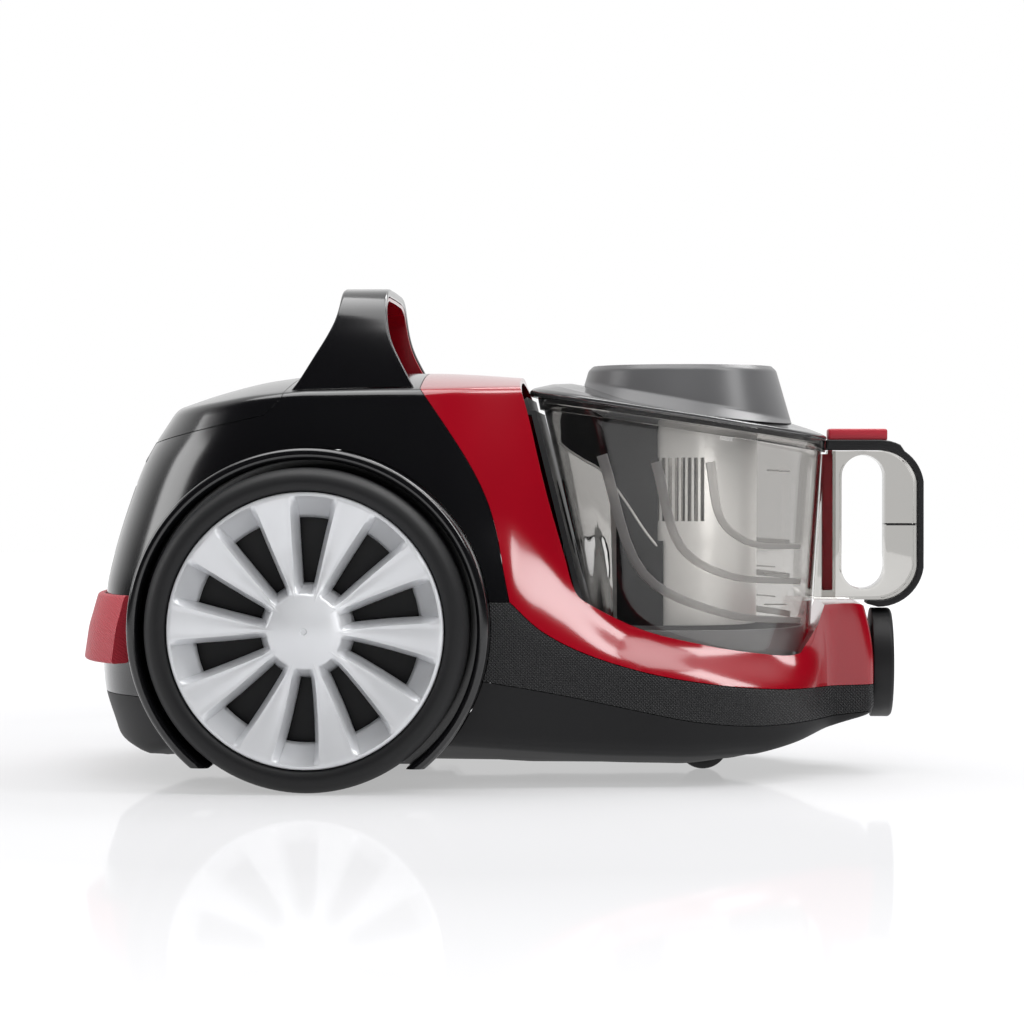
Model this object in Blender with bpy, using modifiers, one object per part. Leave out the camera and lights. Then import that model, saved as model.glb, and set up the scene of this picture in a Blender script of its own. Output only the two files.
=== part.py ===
"""Bagless canister vacuum cleaner, built as separate pieces.

Frame: +X towards the hose port, +Y towards the machine's own left side, +Z up.
The origin is on the floor under the middle of the machine. Metres throughout.
"""

from math import cos, pi, radians, sin, sqrt

import bmesh
import bpy
from mathutils import Matrix, Vector

# ---------------------------------------------------------------- driving sizes
GAP = 0.0004                 # clear gap between pieces that meet
WALL = 0.0030                # casing wall

WHEEL_X = -0.0980            # drive wheel axis
WHEEL_R = 0.0875
TYRE_STEPS = 44
WHEEL_Z = WHEEL_R * cos(pi / TYRE_STEPS)   # a flat of the tyre rests on the floor
WHEEL_FACE = 0.1120          # |y| of the wheels' inner faces
TYRE_SEAT_R = 0.0745
ARCH_R = 0.0978              # outer radius of the wheel arch liner

REAR_CENTRE_X = -0.0600      # the rear half of the plan outline starts here
BODY_HALF_WIDTH = 0.1285
PLAN_POWER = 3.0             # squareness of the rear plan outline
FRONT_X = 0.2130             # front face of the hose neck
NECK_HALF_WIDTH = 0.0400
NOSE_R = 0.1080              # the nose runs round the dust bin at this radius
NOSE_X = 0.0850
CROWN_DROP = 1.10            # the top falls by this times y squared
WAIST = 0.0190               # the flanks round the bin draw in by this above their lower edge

BIN_X = 0.1015               # dust bin axis
BIN_BOTTOM_Z = 0.0660
BIN_BOTTOM_R = 0.0765
BIN_TAPER = 0.0612           # radius gained per metre of height
BIN_WALL = 0.0025
TRAY_RIM_Z = 0.0840          # height of the bin floor's rim
SHROUD_BOTTOM_Z = 0.0850     # the cyclone tube ends just above the rim of the bin's floor
LID_REAR = (0.0145, 0.2172)  # the lid's joint line, at the rear and at the front
LID_FRONT = (0.1862, 0.1915)
LID_FRONT_RISE = 0.45        # the lid's front stands this share as tall as its rear

INLET_Y = 0.0400             # where the duct meets the bin's rear wall
INLET_Z = 0.1200

CAP_X = 0.1050               # filter cap on the lid
CAP_TOP_Z = 0.2325
CAP_TOP_R = 0.0535

PORT_Z = 0.0620              # hose port axis
PORT_R = 0.0314

CASTER_X = 0.1240            # swivel axis of the front caster
CASTER_TRAIL = 0.0070
CASTER_R = 0.0150
CASTER_STEPS = 28
CASTER_Z = CASTER_R * cos(pi / CASTER_STEPS)

HANDLE_HALF_DEPTH = 0.0130   # half width of the dust bin's own handle

MOTOR_Y = -0.0150            # the motor lies beside the cord reel
MOTOR_Z = 0.1120

BUMPER_LOW_Z = 0.0660
BUMPER_HIGH_Z = 0.1040

# ---------------------------------------------------------------- outlines, side view (x, z)
REAR_PROFILE = [             # x of the rear face against height
    (0.000, -0.2098), (0.028, -0.2186), (0.053, -0.2259), (0.069, -0.2269), (0.107, -0.2245),
    (0.124, -0.2208), (0.151, -0.2128), (0.179, -0.2021), (0.203, -0.1874), (0.240, -0.1632),
]
CROWN_LINE = [               # height of the top along the centre line
    (-0.250, 0.1800), (-0.200, 0.2030), (-0.183, 0.2088), (-0.157, 0.2175), (-0.128, 0.2244),
    (-0.100, 0.2275), (-0.040, 0.2285), (0.0134, 0.2258), (0.060, 0.2200), (0.230, 0.2000),
]
KEEL_LINE = [                # height of the underside along the centre line
    (-0.250, 0.0300), (-0.204, 0.0190), (-0.187, 0.0150), (-0.160, 0.0150), (0.100, 0.0112),
    (0.141, 0.0160), (0.168, 0.0212), (0.180, 0.0250), (0.195, 0.0300), (0.230, 0.0400),
]
BLACK_RED_SEAM = [
    (-0.0405, 0.2450), (-0.0400, 0.2180), (-0.0238, 0.1944), (-0.0113, 0.1743),
    (-0.0026, 0.1558), (0.0029, 0.1367), (0.0061, 0.1199), (0.0099, 0.1014),
]
RED_LOWER_EDGE = [
    (0.0099, 0.1014), (0.0262, 0.0862), (0.0480, 0.0742), (0.0806, 0.0634),
    (0.1132, 0.0570), (0.1458, 0.0528), (0.1784, 0.0510), (0.2300, 0.0525),
]
BAND_LOWER_EDGE = [
    (-0.0064, 0.0590), (0.0371, 0.0509), (0.0806, 0.0416), (0.1132, 0.0353),
    (0.1458, 0.0323), (0.1784, 0.0330), (0.2035, 0.0358), (0.2300, 0.0378),
]
BIN_OPENING = [
    (0.0133, 0.2224), (0.0188, 0.2032), (0.0286, 0.1622), (0.0396, 0.1239), (0.0434, 0.1102),
    (0.0470, 0.1035), (0.0533, 0.0990), (0.0806, 0.0856), (0.1134, 0.0772), (0.1400, 0.0722),
    (0.1670, 0.0698), (0.1760, 0.0745), (0.1805, 0.0860), (0.1845, 0.0970),
]
NECK_TOP = [(0.1845, 0.0970), (0.2050, 0.0972), (0.2100, 0.0940), (0.2400, 0.0880)]
COVER_SEAM = [               # lower edge of the rear top cover
    (-0.2600, 0.1720), (-0.1803, 0.1912), (-0.1257, 0.2031), (-0.1163, 0.2122), (-0.1050, 0.2450),
]
REAR_BASE_SEAM_Z = 0.0482

# ---------------------------------------------------------------- outlines, carrying handle
HANDLE_ARCH = [              # outer face (y, z), from the side up to the middle
    (0.0985, 0.1950), (0.0985, 0.2080), (0.0955, 0.2220), (0.0900, 0.2380), (0.0835, 0.2520),
    (0.0760, 0.2638), (0.0640, 0.2718), (0.0480, 0.2750), (0.0240, 0.2755), (0.0000, 0.2757),
]
HANDLE_SPAN = [              # (height, rear x, front x)
    (0.1950, -0.1300, -0.0330), (0.2080, -0.1195, -0.0360), (0.2173, -0.1104, -0.0423),
    (0.2312, -0.1021, -0.0500), (0.2450, -0.0938, -0.0572), (0.2616, -0.0868, -0.0600),
    (0.2800, -0.0858, -0.0605),
]


# ---------------------------------------------------------------- small helpers
def interpolated(table, at, column=1):
    """Value at a position in a table of rows that rise in their first column."""
    if at <= table[0][0]:
        return table[0][column]
    for low, high in zip(table, table[1:]):
        if at <= high[0]:
            share = (at - low[0]) / (high[0] - low[0])
            return low[column] + share * (high[column] - low[column])
    return table[-1][column]


def shifted(points, dx, dz):
    return [(x + dx, z + dz) for x, z in points]


def clear_scene():
    for old in list(bpy.data.objects):
        bpy.data.objects.remove(old)
    for name in ("canister_vacuum", "cutters"):
        bpy.context.scene.collection.children.link(bpy.data.collections.new(name))


def material(name, colour, roughness, metallic=0.0, alpha=1.0):
    made = bpy.data.materials.new(name)
    made.use_nodes = True
    shader = made.node_tree.nodes["Principled BSDF"]
    shader.inputs["Base Color"].default_value = (*colour, 1.0)
    shader.inputs["Roughness"].default_value = roughness
    shader.inputs["Metallic"].default_value = metallic
    shader.inputs["Alpha"].default_value = alpha
    return made


def make_materials():
    return {
        "gloss_black": material("gloss_black", (0.010, 0.010, 0.012), 0.12),
        "gloss_red": material("gloss_red", (0.350, 0.002, 0.012), 0.15),
        "satin_black": material("satin_black", (0.022, 0.022, 0.024), 0.55),
        "grip_red": material("grip_red", (0.480, 0.035, 0.050), 0.50),
        "silver": material("silver", (0.600, 0.610, 0.630), 0.35, 0.6),
        "rubber": material("rubber", (0.018, 0.018, 0.019), 0.70),
        "smoke": material("smoke", (0.300, 0.290, 0.280), 0.08, 0.0, 0.35),
        "cap_grey": material("cap_grey", (0.090, 0.090, 0.092), 0.40),
        "steel": material("steel", (0.550, 0.550, 0.560), 0.30, 1.0),
        "filter_white": material("filter_white", (0.750, 0.750, 0.720), 0.90),
        "board_green": material("board_green", (0.020, 0.150, 0.060), 0.60),
    }


def place(obj, finish=None, cutter=False):
    """Puts an object in its collection and gives it its material."""
    where = bpy.data.collections["cutters" if cutter else "canister_vacuum"]
    where.objects.link(obj)
    if cutter:
        obj.hide_render = True
        obj.display_type = "WIRE"
    elif finish:
        obj.data.materials.clear()
        obj.data.materials.append(MATERIALS[finish])
    return obj


def from_bmesh(name, bm, finish=None, cutter=False):
    bmesh.ops.recalc_face_normals(bm, faces=bm.faces)
    data = bpy.data.meshes.new(name)
    bm.to_mesh(data)
    bm.free()
    return place(bpy.data.objects.new(name, data), finish, cutter)


def smooth(obj, angle=35):
    obj.data.shade_smooth()
    obj.data.set_sharp_from_angle(angle=radians(angle))
    return obj


def loft(name, rings, finish=None, cutter=False, loop=False):
    """A solid through rings of equal point count. A looped loft closes on its first ring."""
    bm = bmesh.new()
    rows = [[bm.verts.new(point) for point in ring] for ring in rings]
    pairs = list(zip(rows, rows[1:] + rows[:1])) if loop else list(zip(rows, rows[1:]))
    count = len(rings[0])
    for low, high in pairs:
        for i in range(count):
            j = (i + 1) % count
            bm.faces.new((low[i], low[j], high[j], high[i]))
    if not loop:
        bm.faces.new(rows[0])
        bm.faces.new(rows[-1])
    return smooth(from_bmesh(name, bm, finish, cutter))


def baked(obj):
    """The object with its modifiers applied, and curves made meshes with welded caps."""
    bpy.context.view_layer.update()
    graph = bpy.context.evaluated_depsgraph_get()
    data = bpy.data.meshes.new_from_object(obj.evaluated_get(graph))
    bm = bmesh.new()
    bm.from_mesh(data)
    bmesh.ops.remove_doubles(bm, verts=bm.verts, dist=0.00001)
    bm.to_mesh(data)
    bm.free()
    made = bpy.data.objects.new(obj.name, data)
    made.matrix_world = obj.matrix_world.copy()
    name, cutter, finish = obj.name, obj.hide_render, list(obj.data.materials)
    bpy.data.objects.remove(obj)
    made.name = name
    place(made, None, cutter)
    data.materials.clear()
    for slot in finish:
        data.materials.append(slot)
    return made


def flat_prism(name, outline, half_depth, finish=None, cutter=False, holes=(), middle_y=0.0):
    """An (x, z) outline, less its holes, made thick along y on both sides of middle_y."""
    curve = bpy.data.curves.new(name, "CURVE")
    curve.dimensions = "2D"
    curve.fill_mode = "BOTH"
    curve.extrude = half_depth
    for points in [outline, *holes]:
        spline = curve.splines.new("POLY")
        spline.points.add(len(points) - 1)
        for target, (x, z) in zip(spline.points, points):
            target.co = (x, z, 0.0, 1.0)
        spline.use_cyclic_u = True
    obj = place(bpy.data.objects.new(name, curve), finish, cutter)
    obj.matrix_world = Matrix.Translation((0, middle_y, 0)) @ Matrix.Rotation(pi / 2, 4, "X")
    return baked(obj)


def turned(name, profile, steps, matrix, finish=None, cutter=False, ring=True):
    """A closed (radius, height) profile turned about the matrix's own z axis."""
    data = bpy.data.meshes.new(name)
    count = len(profile)
    edges = [(i, i + 1) for i in range(count - 1)]
    if ring:
        edges.append((count - 1, 0))
    data.from_pydata([(r, 0.0, h) for r, h in profile], edges, [])
    obj = place(bpy.data.objects.new(name, data), finish, cutter)
    screw = obj.modifiers.new("turn", "SCREW")
    screw.steps = screw.render_steps = steps
    screw.use_merge_vertices = True
    screw.merge_threshold = 0.00001
    obj.matrix_world = matrix
    return smooth(baked(obj))


def cylinder(name, radius, depth, matrix, finish=None, cutter=False, segments=32):
    """A cylinder from the matrix's origin along its z axis."""
    bm = bmesh.new()
    bmesh.ops.create_cone(
        bm, cap_ends=True, segments=segments, radius1=radius, radius2=radius, depth=depth
    )
    bmesh.ops.translate(bm, verts=bm.verts, vec=(0, 0, depth / 2))
    obj = from_bmesh(name, bm, finish, cutter)
    obj.matrix_world = matrix
    return smooth(obj)


def block(name, low, high, finish=None, cutter=False, bevel=0.0):
    """A box between two corners."""
    bm = bmesh.new()
    bmesh.ops.create_cube(bm, size=1.0)
    size = [b - a for a, b in zip(low, high)]
    middle = [(a + b) / 2 for a, b in zip(low, high)]
    bmesh.ops.scale(bm, vec=size, verts=bm.verts)
    bmesh.ops.translate(bm, vec=middle, verts=bm.verts)
    obj = from_bmesh(name, bm, finish, cutter)
    if bevel:
        edge = obj.modifiers.new("edge", "BEVEL")
        edge.width = bevel
        edge.segments = 2
    return obj


def boolean(obj, other, operation="DIFFERENCE"):
    step = obj.modifiers.new(other.name, "BOOLEAN")
    step.operation = operation
    step.object = other
    step.solver = "EXACT"
    return obj


def set_origin(obj, point):
    """Moves an object's origin to a point and leaves its shape where it is."""
    obj.data.transform(Matrix.Translation(point).inverted() @ obj.matrix_world)
    obj.matrix_world = Matrix.Translation(point)


def copied(source, name, finish):
    """A new object with its own copy of a mesh."""
    return place(bpy.data.objects.new(name, source.data.copy()), finish)


def wheel_matrix(side, offset=0.0):
    """Turned pieces on a wheel's axle, with height measured outwards from the wheel's inner face."""
    turn = Matrix.Rotation(-side * pi / 2, 4, "X")
    return Matrix.Translation((WHEEL_X, side * (WHEEL_FACE + offset), WHEEL_Z)) @ turn


def half_step(steps):
    """Turns a piece by half a facet, so that it stands on a flat."""
    return Matrix.Rotation(pi / steps, 4, "Z")


def along_x(x, y, z):
    """Turned pieces on a line along x, with height measured from x."""
    return Matrix.Translation((x, y, z)) @ Matrix.Rotation(pi / 2, 4, "Y")


def along_y(x, y, z):
    """Turned pieces on a line along y, with height measured towards +y."""
    return Matrix.Translation((x, y, z)) @ Matrix.Rotation(-pi / 2, 4, "X")


# ---------------------------------------------------------------- the casing's surface
def lean(z):
    """The casing narrows from the shoulder line up."""
    return 1.0 - 0.20 * (max(0.0, z - 0.090) / 0.130) ** 1.7


def nose_half_width(x):
    """Half width of the plan outline ahead of the wheels: round the bin, then the neck."""
    if x <= NOSE_X:
        share = max(0.0, x - REAR_CENTRE_X) / (NOSE_X - REAR_CENTRE_X)
        return BODY_HALF_WIDTH - (BODY_HALF_WIDTH - NOSE_R) * share * share * (3 - 2 * share)
    round_part = sqrt(max(0.0, NOSE_R**2 - (x - NOSE_X) ** 2))
    return (round_part**6 + NECK_HALF_WIDTH**6) ** (1 / 6)


def ease(value, low, high):
    """0 below low, 1 above high, smooth between."""
    share = min(1.0, max(0.0, (value - low) / (high - low)))
    return share * share * (3 - 2 * share)


def waist(x, z):
    """How far the flank has drawn in at a point, as a ledge under the bin and a hollow behind it."""
    foot = interpolated(RED_LOWER_EDGE, x) + 0.0020
    rise = 0.0480 - 0.0260 * ease(x, 0.0200, 0.0750)
    along = ease(x, -0.0400, 0.0400) * (1.0 - ease(x, 0.1500, 0.1870))
    return WAIST * along * ease(z, foot - 0.25 * rise, foot + rise)


def front_x(z):
    return max(0.2000, FRONT_X - 4.4 * max(0.0, z - 0.0600) ** 2)


REAR_STEPS = 9
FRONT_STATIONS = [
    -0.030, 0.000, 0.020, 0.040, 0.070, 0.095, 0.120, 0.140, 0.155, 0.167, 0.177, 0.187, 0.198,
]


def plan_ring(z, inset):
    """Plan outline at a height, moved inwards by inset."""
    half = []
    reach = REAR_CENTRE_X - interpolated(REAR_PROFILE, z) - inset
    width = BODY_HALF_WIDTH * lean(z) - inset
    for i in range(REAR_STEPS + 1):
        turn = pi / 2 * i / REAR_STEPS
        x = REAR_CENTRE_X - reach * max(0.0, cos(turn)) ** (2 / PLAN_POWER)
        half.append((x, width * sin(turn) ** (2 / PLAN_POWER)))
    for x in FRONT_STATIONS:
        half.append((x, nose_half_width(x) * lean(z) - waist(x, z) - inset))
    end = front_x(z) - inset
    edge = NECK_HALF_WIDTH * lean(z) - inset
    half += [(end - 0.004, edge - 0.001), (end, edge - 0.005)]
    left = [Vector((x, y, z)) for x, y in half]
    right = [Vector((x, -y, z)) for x, y in reversed(half[1:])]
    return left + right


PLAN_LEVELS = [
    0.000, 0.030, 0.044, 0.060, 0.074, 0.086, 0.098, 0.112, 0.128, 0.150, 0.175, 0.200, 0.245,
]
SPINE_STATIONS = [
    -0.250, -0.204, -0.187, -0.157, -0.128, -0.100, -0.040, 0.0134, 0.060,
    0.100, 0.141, 0.168, 0.195, 0.230,
]
SECTION_Y = [-0.150, -0.100, -0.060, -0.025, 0.025, 0.060, 0.100, 0.150]


def spine_ring(x, inset):
    """Cross-section between the crowned top and the keel, wider than the casing itself."""
    crown = interpolated(CROWN_LINE, x) - inset
    keel = interpolated(KEEL_LINE, x) + inset
    top = [Vector((x, y, crown - CROWN_DROP * y * y)) for y in SECTION_Y]
    edge_rise = 0.30
    under = []
    for y in reversed(SECTION_Y):
        over = max(0.0, abs(y) - 0.085)
        under.append(Vector((x, y, keel + edge_rise * over)))
    return top + under


def casing_solid(name, inset):
    """The whole casing as one solid, moved inwards by inset."""
    body = loft(name, [plan_ring(z, inset) for z in PLAN_LEVELS], cutter=True)
    spine = loft(
        name + "_spine", [spine_ring(x, inset) for x in SPINE_STATIONS], cutter=True
    )
    boolean(body, spine, "INTERSECT")
    return baked(body)


def region(name, outline):
    """A side-view region, right across the machine."""
    return flat_prism(name, outline, 0.20, cutter=True)


def casing_regions():
    """The side-view regions that divide the casing into its shells."""
    half = GAP / 2
    top, floor = 0.245, -0.02
    seam_up = list(reversed(BLACK_RED_SEAM))
    red = (
        shifted(BLACK_RED_SEAM, half, 0)
        + shifted(RED_LOWER_EDGE[1:], half, half)
        + [(0.2300, 0.0885)]
        + list(reversed(NECK_TOP[:-1]))
        + list(reversed(BIN_OPENING[:-1]))
        + [(0.0125, top)]
    )
    band = (
        shifted(RED_LOWER_EDGE, 0, -half)
        + shifted(list(reversed(BAND_LOWER_EDGE)), 0, half)
        + [(-0.0064, 0.1014 - half)]
    )
    base = (
        [(-0.2600, floor), (-0.2600, REAR_BASE_SEAM_Z - half), (-0.0500, REAR_BASE_SEAM_Z - half),
         (-0.0500, 0.0590 - half)]
        + shifted(BAND_LOWER_EDGE, 0, -half)
        + [(0.2300, floor)]
    )
    cover = shifted(COVER_SEAM, 0, half) + [(-0.2600, top)]
    rear = (
        shifted(seam_up, -half, 0)
        + shifted(list(reversed(COVER_SEAM)), half, -half)
        + [(-0.2600, REAR_BASE_SEAM_Z + half), (-0.0500 + GAP, REAR_BASE_SEAM_Z + half),
           (-0.0500 + GAP, 0.0590 + half), (-0.0064 - GAP, 0.0590 + half),
           (-0.0064 - GAP, 0.1014)]
    )
    return {
        "front_housing": region("front_region", red),
        "side_band": region("band_region", band),
        "base_shell": region("base_region", base),
        "top_cover": region("cover_region", cover),
        "rear_housing": region("rear_region", rear),
    }


def casing(inner, outer):
    """The five shells of the casing."""
    skin = boolean(copied(outer, "casing_skin", None), inner)
    skin = baked(skin)
    regions = casing_regions()
    wells = []
    for side in (-1, 1):
        where = wheel_matrix(side, -0.0050)
        well = cylinder(f"well_{side}", ARCH_R + GAP, 0.08, where, cutter=True, segments=48)
        wells.append(well)
    port_hole = cylinder("port_hole", 0.0222, 0.04, along_x(0.1950, 0, PORT_Z), cutter=True)
    caster_hole = cylinder(
        "caster_hole", 0.0285, 0.04, Matrix.Translation((CASTER_X, 0, -0.005)), cutter=True
    )
    finishes = {
        "front_housing": "gloss_red", "side_band": "satin_black", "base_shell": "satin_black",
        "top_cover": "gloss_black", "rear_housing": "gloss_black",
    }
    cuts = {
        "front_housing": [port_hole],
        "side_band": [*wells, port_hole],
        "base_shell": [*wells, caster_hole, port_hole],
        "top_cover": [],
        "rear_housing": wells,
    }
    shells = {}
    for name, finish in finishes.items():
        shell = copied(skin, name, finish)
        boolean(shell, regions[name], "INTERSECT")
        for cutter in cuts[name]:
            boolean(shell, cutter)
        shells[name] = shell
    bpy.data.objects.remove(skin)
    return shells


def exhaust_door(shells, outer, inner):
    """A slotted filter door, cut from the rear of the casing, hinged at its lower edge."""
    hinge = (-0.2225, 0.0000, 0.1150)
    low, high = (-0.2600, -0.0500, hinge[2]), (-0.1950, 0.0500, 0.1638)
    swing_room = 0.0016          # the door's upper edge rises a little as it opens
    hole_high = (high[0], high[1] + GAP, high[2] + swing_room)
    hole = block("door_hole", (low[0], low[1] - GAP, low[2] - GAP), hole_high, cutter=True)
    boolean(shells["rear_housing"], hole)
    door = boolean(copied(outer, "exhaust_door", "satin_black"), inner)
    boolean(door, block("door_region", low, high, cutter=True), "INTERSECT")
    for i in range(4):
        z = 0.1260 + i * 0.0095
        slot_low, slot_high = (-0.2600, -0.0400, z - 0.0016), (-0.1900, 0.0400, z + 0.0016)
        boolean(door, block(f"door_slot_{i}", slot_low, slot_high, cutter=True))
    set_origin(door, hinge)


def pedals(shells):
    """Foot pedals for power and cord rewind, in the rear face under the top cover."""
    slope = radians(60)
    for name, y in (("cord_rewind_pedal", -0.0270), ("power_pedal", 0.0270)):
        centre = Vector((-0.1935, y, 0.1815))
        turn = Matrix.Translation(centre) @ Matrix.Rotation(-slope, 4, "Y")
        half_x, half_y = 0.0070, 0.0220
        pedal = block(
            name, (-half_x, -half_y, -0.0090), (half_x, half_y, 0.0035), "cap_grey", bevel=0.0010
        )
        pedal.matrix_world = turn
        half_x += GAP
        half_y += GAP
        hole = block(
            name + "_hole", (-half_x, -half_y, -0.0300), (half_x, half_y, 0.0300), cutter=True
        )
        hole.matrix_world = turn
        boolean(shells["rear_housing"], hole)
        boolean(shells["top_cover"], hole)


def cord_outlet(shells):
    """Bushing that the power cord would run out of, low in the rear face."""
    where = Matrix.Translation((-0.2195, 0.0350, 0.0572)) @ Matrix.Rotation(-pi / 2, 4, "Y")
    profile = [
        (0.0042, 0.0090), (0.0066, 0.0090), (0.0078, 0.0075), (0.0078, -0.0060), (0.0042, -0.0060),
    ]
    turned("cord_outlet", profile, 24, where, "satin_black")
    behind = where @ Matrix.Translation((0, 0, -0.020))
    hole = cylinder("outlet_way", 0.0082, 0.04, behind, cutter=True, segments=24)
    boolean(shells["rear_housing"], hole)


def bumper(grown):
    """Bumper band wrapped round the rear."""
    rings = []
    for z, stand in ((BUMPER_LOW_Z, 0.0109), (0.0850, 0.0082), (BUMPER_HIGH_Z, 0.0045)):
        rings.append(plan_ring(z, -stand))
    band = loft("rear_bumper", rings, "grip_red")
    keep = block("bumper_keep", (-0.26, -0.16, 0.05), (-0.1980, 0.16, 0.12), cutter=True)
    boolean(band, keep, "INTERSECT")
    boolean(band, grown)


# ---------------------------------------------------------------- carrying handle
def arch_ring_points(depth):
    """The handle's arch moved inwards by depth, right across the machine."""
    half = [Vector((y, z)) for y, z in HANDLE_ARCH]
    path = half + [Vector((-p.x, p.y)) for p in reversed(half[:-1])]
    moved = []
    for i, point in enumerate(path):
        ahead = path[min(i + 1, len(path) - 1)] - path[max(i - 1, 0)]
        inward = Vector((ahead.y, -ahead.x)).normalized()
        moved.append(point - inward * depth)
    return path, moved


def arch_strip(name, outside, inside, trim, finish):
    """A strip of the arch between two depths, narrower by trim at each edge."""
    path, outer_line = arch_ring_points(outside)
    _, inner_line = arch_ring_points(inside)
    rings = []
    for base, out, inn in zip(path, outer_line, inner_line):
        rear = interpolated(HANDLE_SPAN, base.y, 1) + trim
        front = interpolated(HANDLE_SPAN, base.y, 2) - trim
        rings.append([
            Vector((rear, out.x, out.y)), Vector((front, out.x, out.y)),
            Vector((front, inn.x, inn.y)), Vector((rear, inn.x, inn.y)),
        ])
    return loft(name, rings, finish)


def carry_handle(grown):
    shell = arch_strip("carry_handle", 0.0, 0.0045, 0.0, "gloss_black")
    boolean(shell, grown)
    liner = arch_strip("handle_liner", 0.0045 + GAP, 0.0070, 0.0018, "gloss_red")
    boolean(liner, grown)


# ---------------------------------------------------------------- drive wheels
SPOKES = 10
WINDOW_ANGLES = [(0.0257, 11.5, 22.1), (0.0606, 7.1, 21.5)]  # (radius, left, right) in degrees


def hubcap_windows(side):
    """Ten tapered windows as one cutter, in the wheel's own frame."""
    bm = bmesh.new()
    for i in range(SPOKES):
        turn = 2 * pi * i / SPOKES
        corners = []
        (r1, a1, b1), (r2, a2, b2) = WINDOW_ANGLES
        for radius, angle in ((r1, a1), (r1, b1), (r2, b2), (r2, a2)):
            bearing = turn + radians(angle)
            corners.append((radius * cos(bearing), -side * radius * sin(bearing)))
        low = [bm.verts.new((x, y, 0.020)) for x, y in corners]
        high = [bm.verts.new((x, y, 0.060)) for x, y in corners]
        bm.faces.new(low)
        bm.faces.new(high)
        for j in range(4):
            k = (j + 1) % 4
            bm.faces.new((low[j], low[k], high[k], high[j]))
    obj = from_bmesh(f"windows_{side}", bm, cutter=True)
    obj.matrix_world = wheel_matrix(side)
    return obj


def wheel(side, word):
    turn = wheel_matrix(side)
    tyre = [
        (TYRE_SEAT_R, 0.0360), (0.0790, 0.0400), (0.0845, 0.0375), (WHEEL_R, 0.0300),
        (WHEEL_R, 0.0100), (0.0845, 0.0020), (TYRE_SEAT_R, 0.0000),
    ]
    turned(f"tyre_{word}", tyre, TYRE_STEPS, turn @ half_step(TYRE_STEPS), "rubber")
    carrier = [
        (0.0055, 0.0300), (0.0130, 0.0300), (0.0130, 0.0160), (0.0700, 0.0160),
        (0.0700, 0.0340), (0.0742, 0.0340), (0.0742, 0.0030), (0.0055, 0.0080),
    ]
    turned(f"wheel_carrier_{word}", carrier, 28, turn, "satin_black")
    cap = [
        (0.0000, 0.0430), (0.0100, 0.0420), (0.0180, 0.0370), (0.0300, 0.0338), (0.0550, 0.0360),
        (0.0700, 0.0382), (0.0738, 0.0372), (0.0738, 0.0345), (0.0695, 0.0345), (0.0300, 0.0305),
        (0.0000, 0.0305),
    ]
    hubcap = turned(f"hubcap_{word}", cap, 40, turn, "silver", ring=False)
    boolean(hubcap, hubcap_windows(side))
    liner = [
        (0.0915, 0.0260), (0.0945, 0.0285), (ARCH_R, 0.0260), (ARCH_R, -0.0045),
        (0.0060, -0.0045), (0.0060, -0.0015), (0.0915, -0.0015),
    ]
    arch = turned(f"wheel_arch_{word}", liner, 44, turn, "gloss_black")
    under = block(f"arch_trim_{word}", (-0.30, -0.20, -0.05), (0.05, 0.20, 0.0128), cutter=True)
    boolean(arch, under)
    axle = [
        (0.0, 0.0298), (0.0050, 0.0298), (0.0050, -0.0050), (0.0120, -0.0050),
        (0.0120, -0.0110), (0.0, -0.0110),
    ]
    turned(f"wheel_axle_{word}", axle, 20, turn, "steel", ring=False)


# ---------------------------------------------------------------- front caster
def caster():
    socket = [
        (0.0255, 0.0130), (0.0282, 0.0130), (0.0282, 0.0410), (0.0040, 0.0410),
        (0.0040, 0.0385), (0.0255, 0.0385),
    ]
    swivel = Matrix.Translation((CASTER_X, 0, 0))
    turned("caster_socket", list(reversed(socket)), 28, swivel, "satin_black")
    wheel_x = CASTER_X - CASTER_TRAIL
    plate = [(0.0, 0.0382), (0.0230, 0.0382), (0.0230, 0.0340), (0.0, 0.0340)]
    fork = turned("caster_fork", plate, 24, swivel, "satin_black", ring=False)
    for side in (-1, 1):
        low_y, high_y = sorted((side * 0.0085, side * 0.0120))
        ear_low = (wheel_x - 0.0060, low_y, 0.0100)
        ear_high = (wheel_x + 0.0060, high_y, 0.0360)
        boolean(fork, block(f"fork_ear_{side}", ear_low, ear_high, cutter=True), "UNION")
    stem_foot = Matrix.Translation((CASTER_X, 0, 0.0360))
    stem = cylinder("fork_stem", 0.0036, 0.0100, stem_foot, cutter=True, segments=20)
    boolean(fork, stem, "UNION")
    pin_line = along_y(wheel_x, -0.03, CASTER_Z)
    boolean(fork, cylinder("pin_hole", 0.0024, 0.06, pin_line, cutter=True, segments=16))
    roller = [
        (0.0024, 0.0160), (0.0110, 0.0160), (0.0150, 0.0125), (0.0150, 0.0035),
        (0.0110, 0.0000), (0.0024, 0.0000),
    ]
    axis = along_y(wheel_x, -0.0080, CASTER_Z)
    turned("caster_wheel", roller, CASTER_STEPS, axis @ half_step(CASTER_STEPS), "rubber")
    pin = cylinder(
        "caster_pin", 0.0020, 0.0236, along_y(wheel_x, -0.0118, CASTER_Z), "steel", segments=14
    )
    set_origin(pin, (CASTER_X, 0, CASTER_Z))


# ---------------------------------------------------------------- dust bin
BIN_SEGMENTS = 44
CORNER_POWER = 14.0


def lid_plane_z(x):
    slope = (LID_FRONT[1] - LID_REAR[1]) / (LID_FRONT[0] - LID_REAR[0])
    return LID_REAR[1] + slope * (x - LID_REAR[0])


def lid_height(x, above):
    """Height of a point above the joint plane, where the lid grows thinner towards the front."""
    share = (x - LID_REAR[0]) / (LID_FRONT[0] - LID_REAR[0])
    thinning = 1.0 - (1.0 - LID_FRONT_RISE) * share if above > 0 else 1.0
    return lid_plane_z(x) + above * thinning


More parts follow.
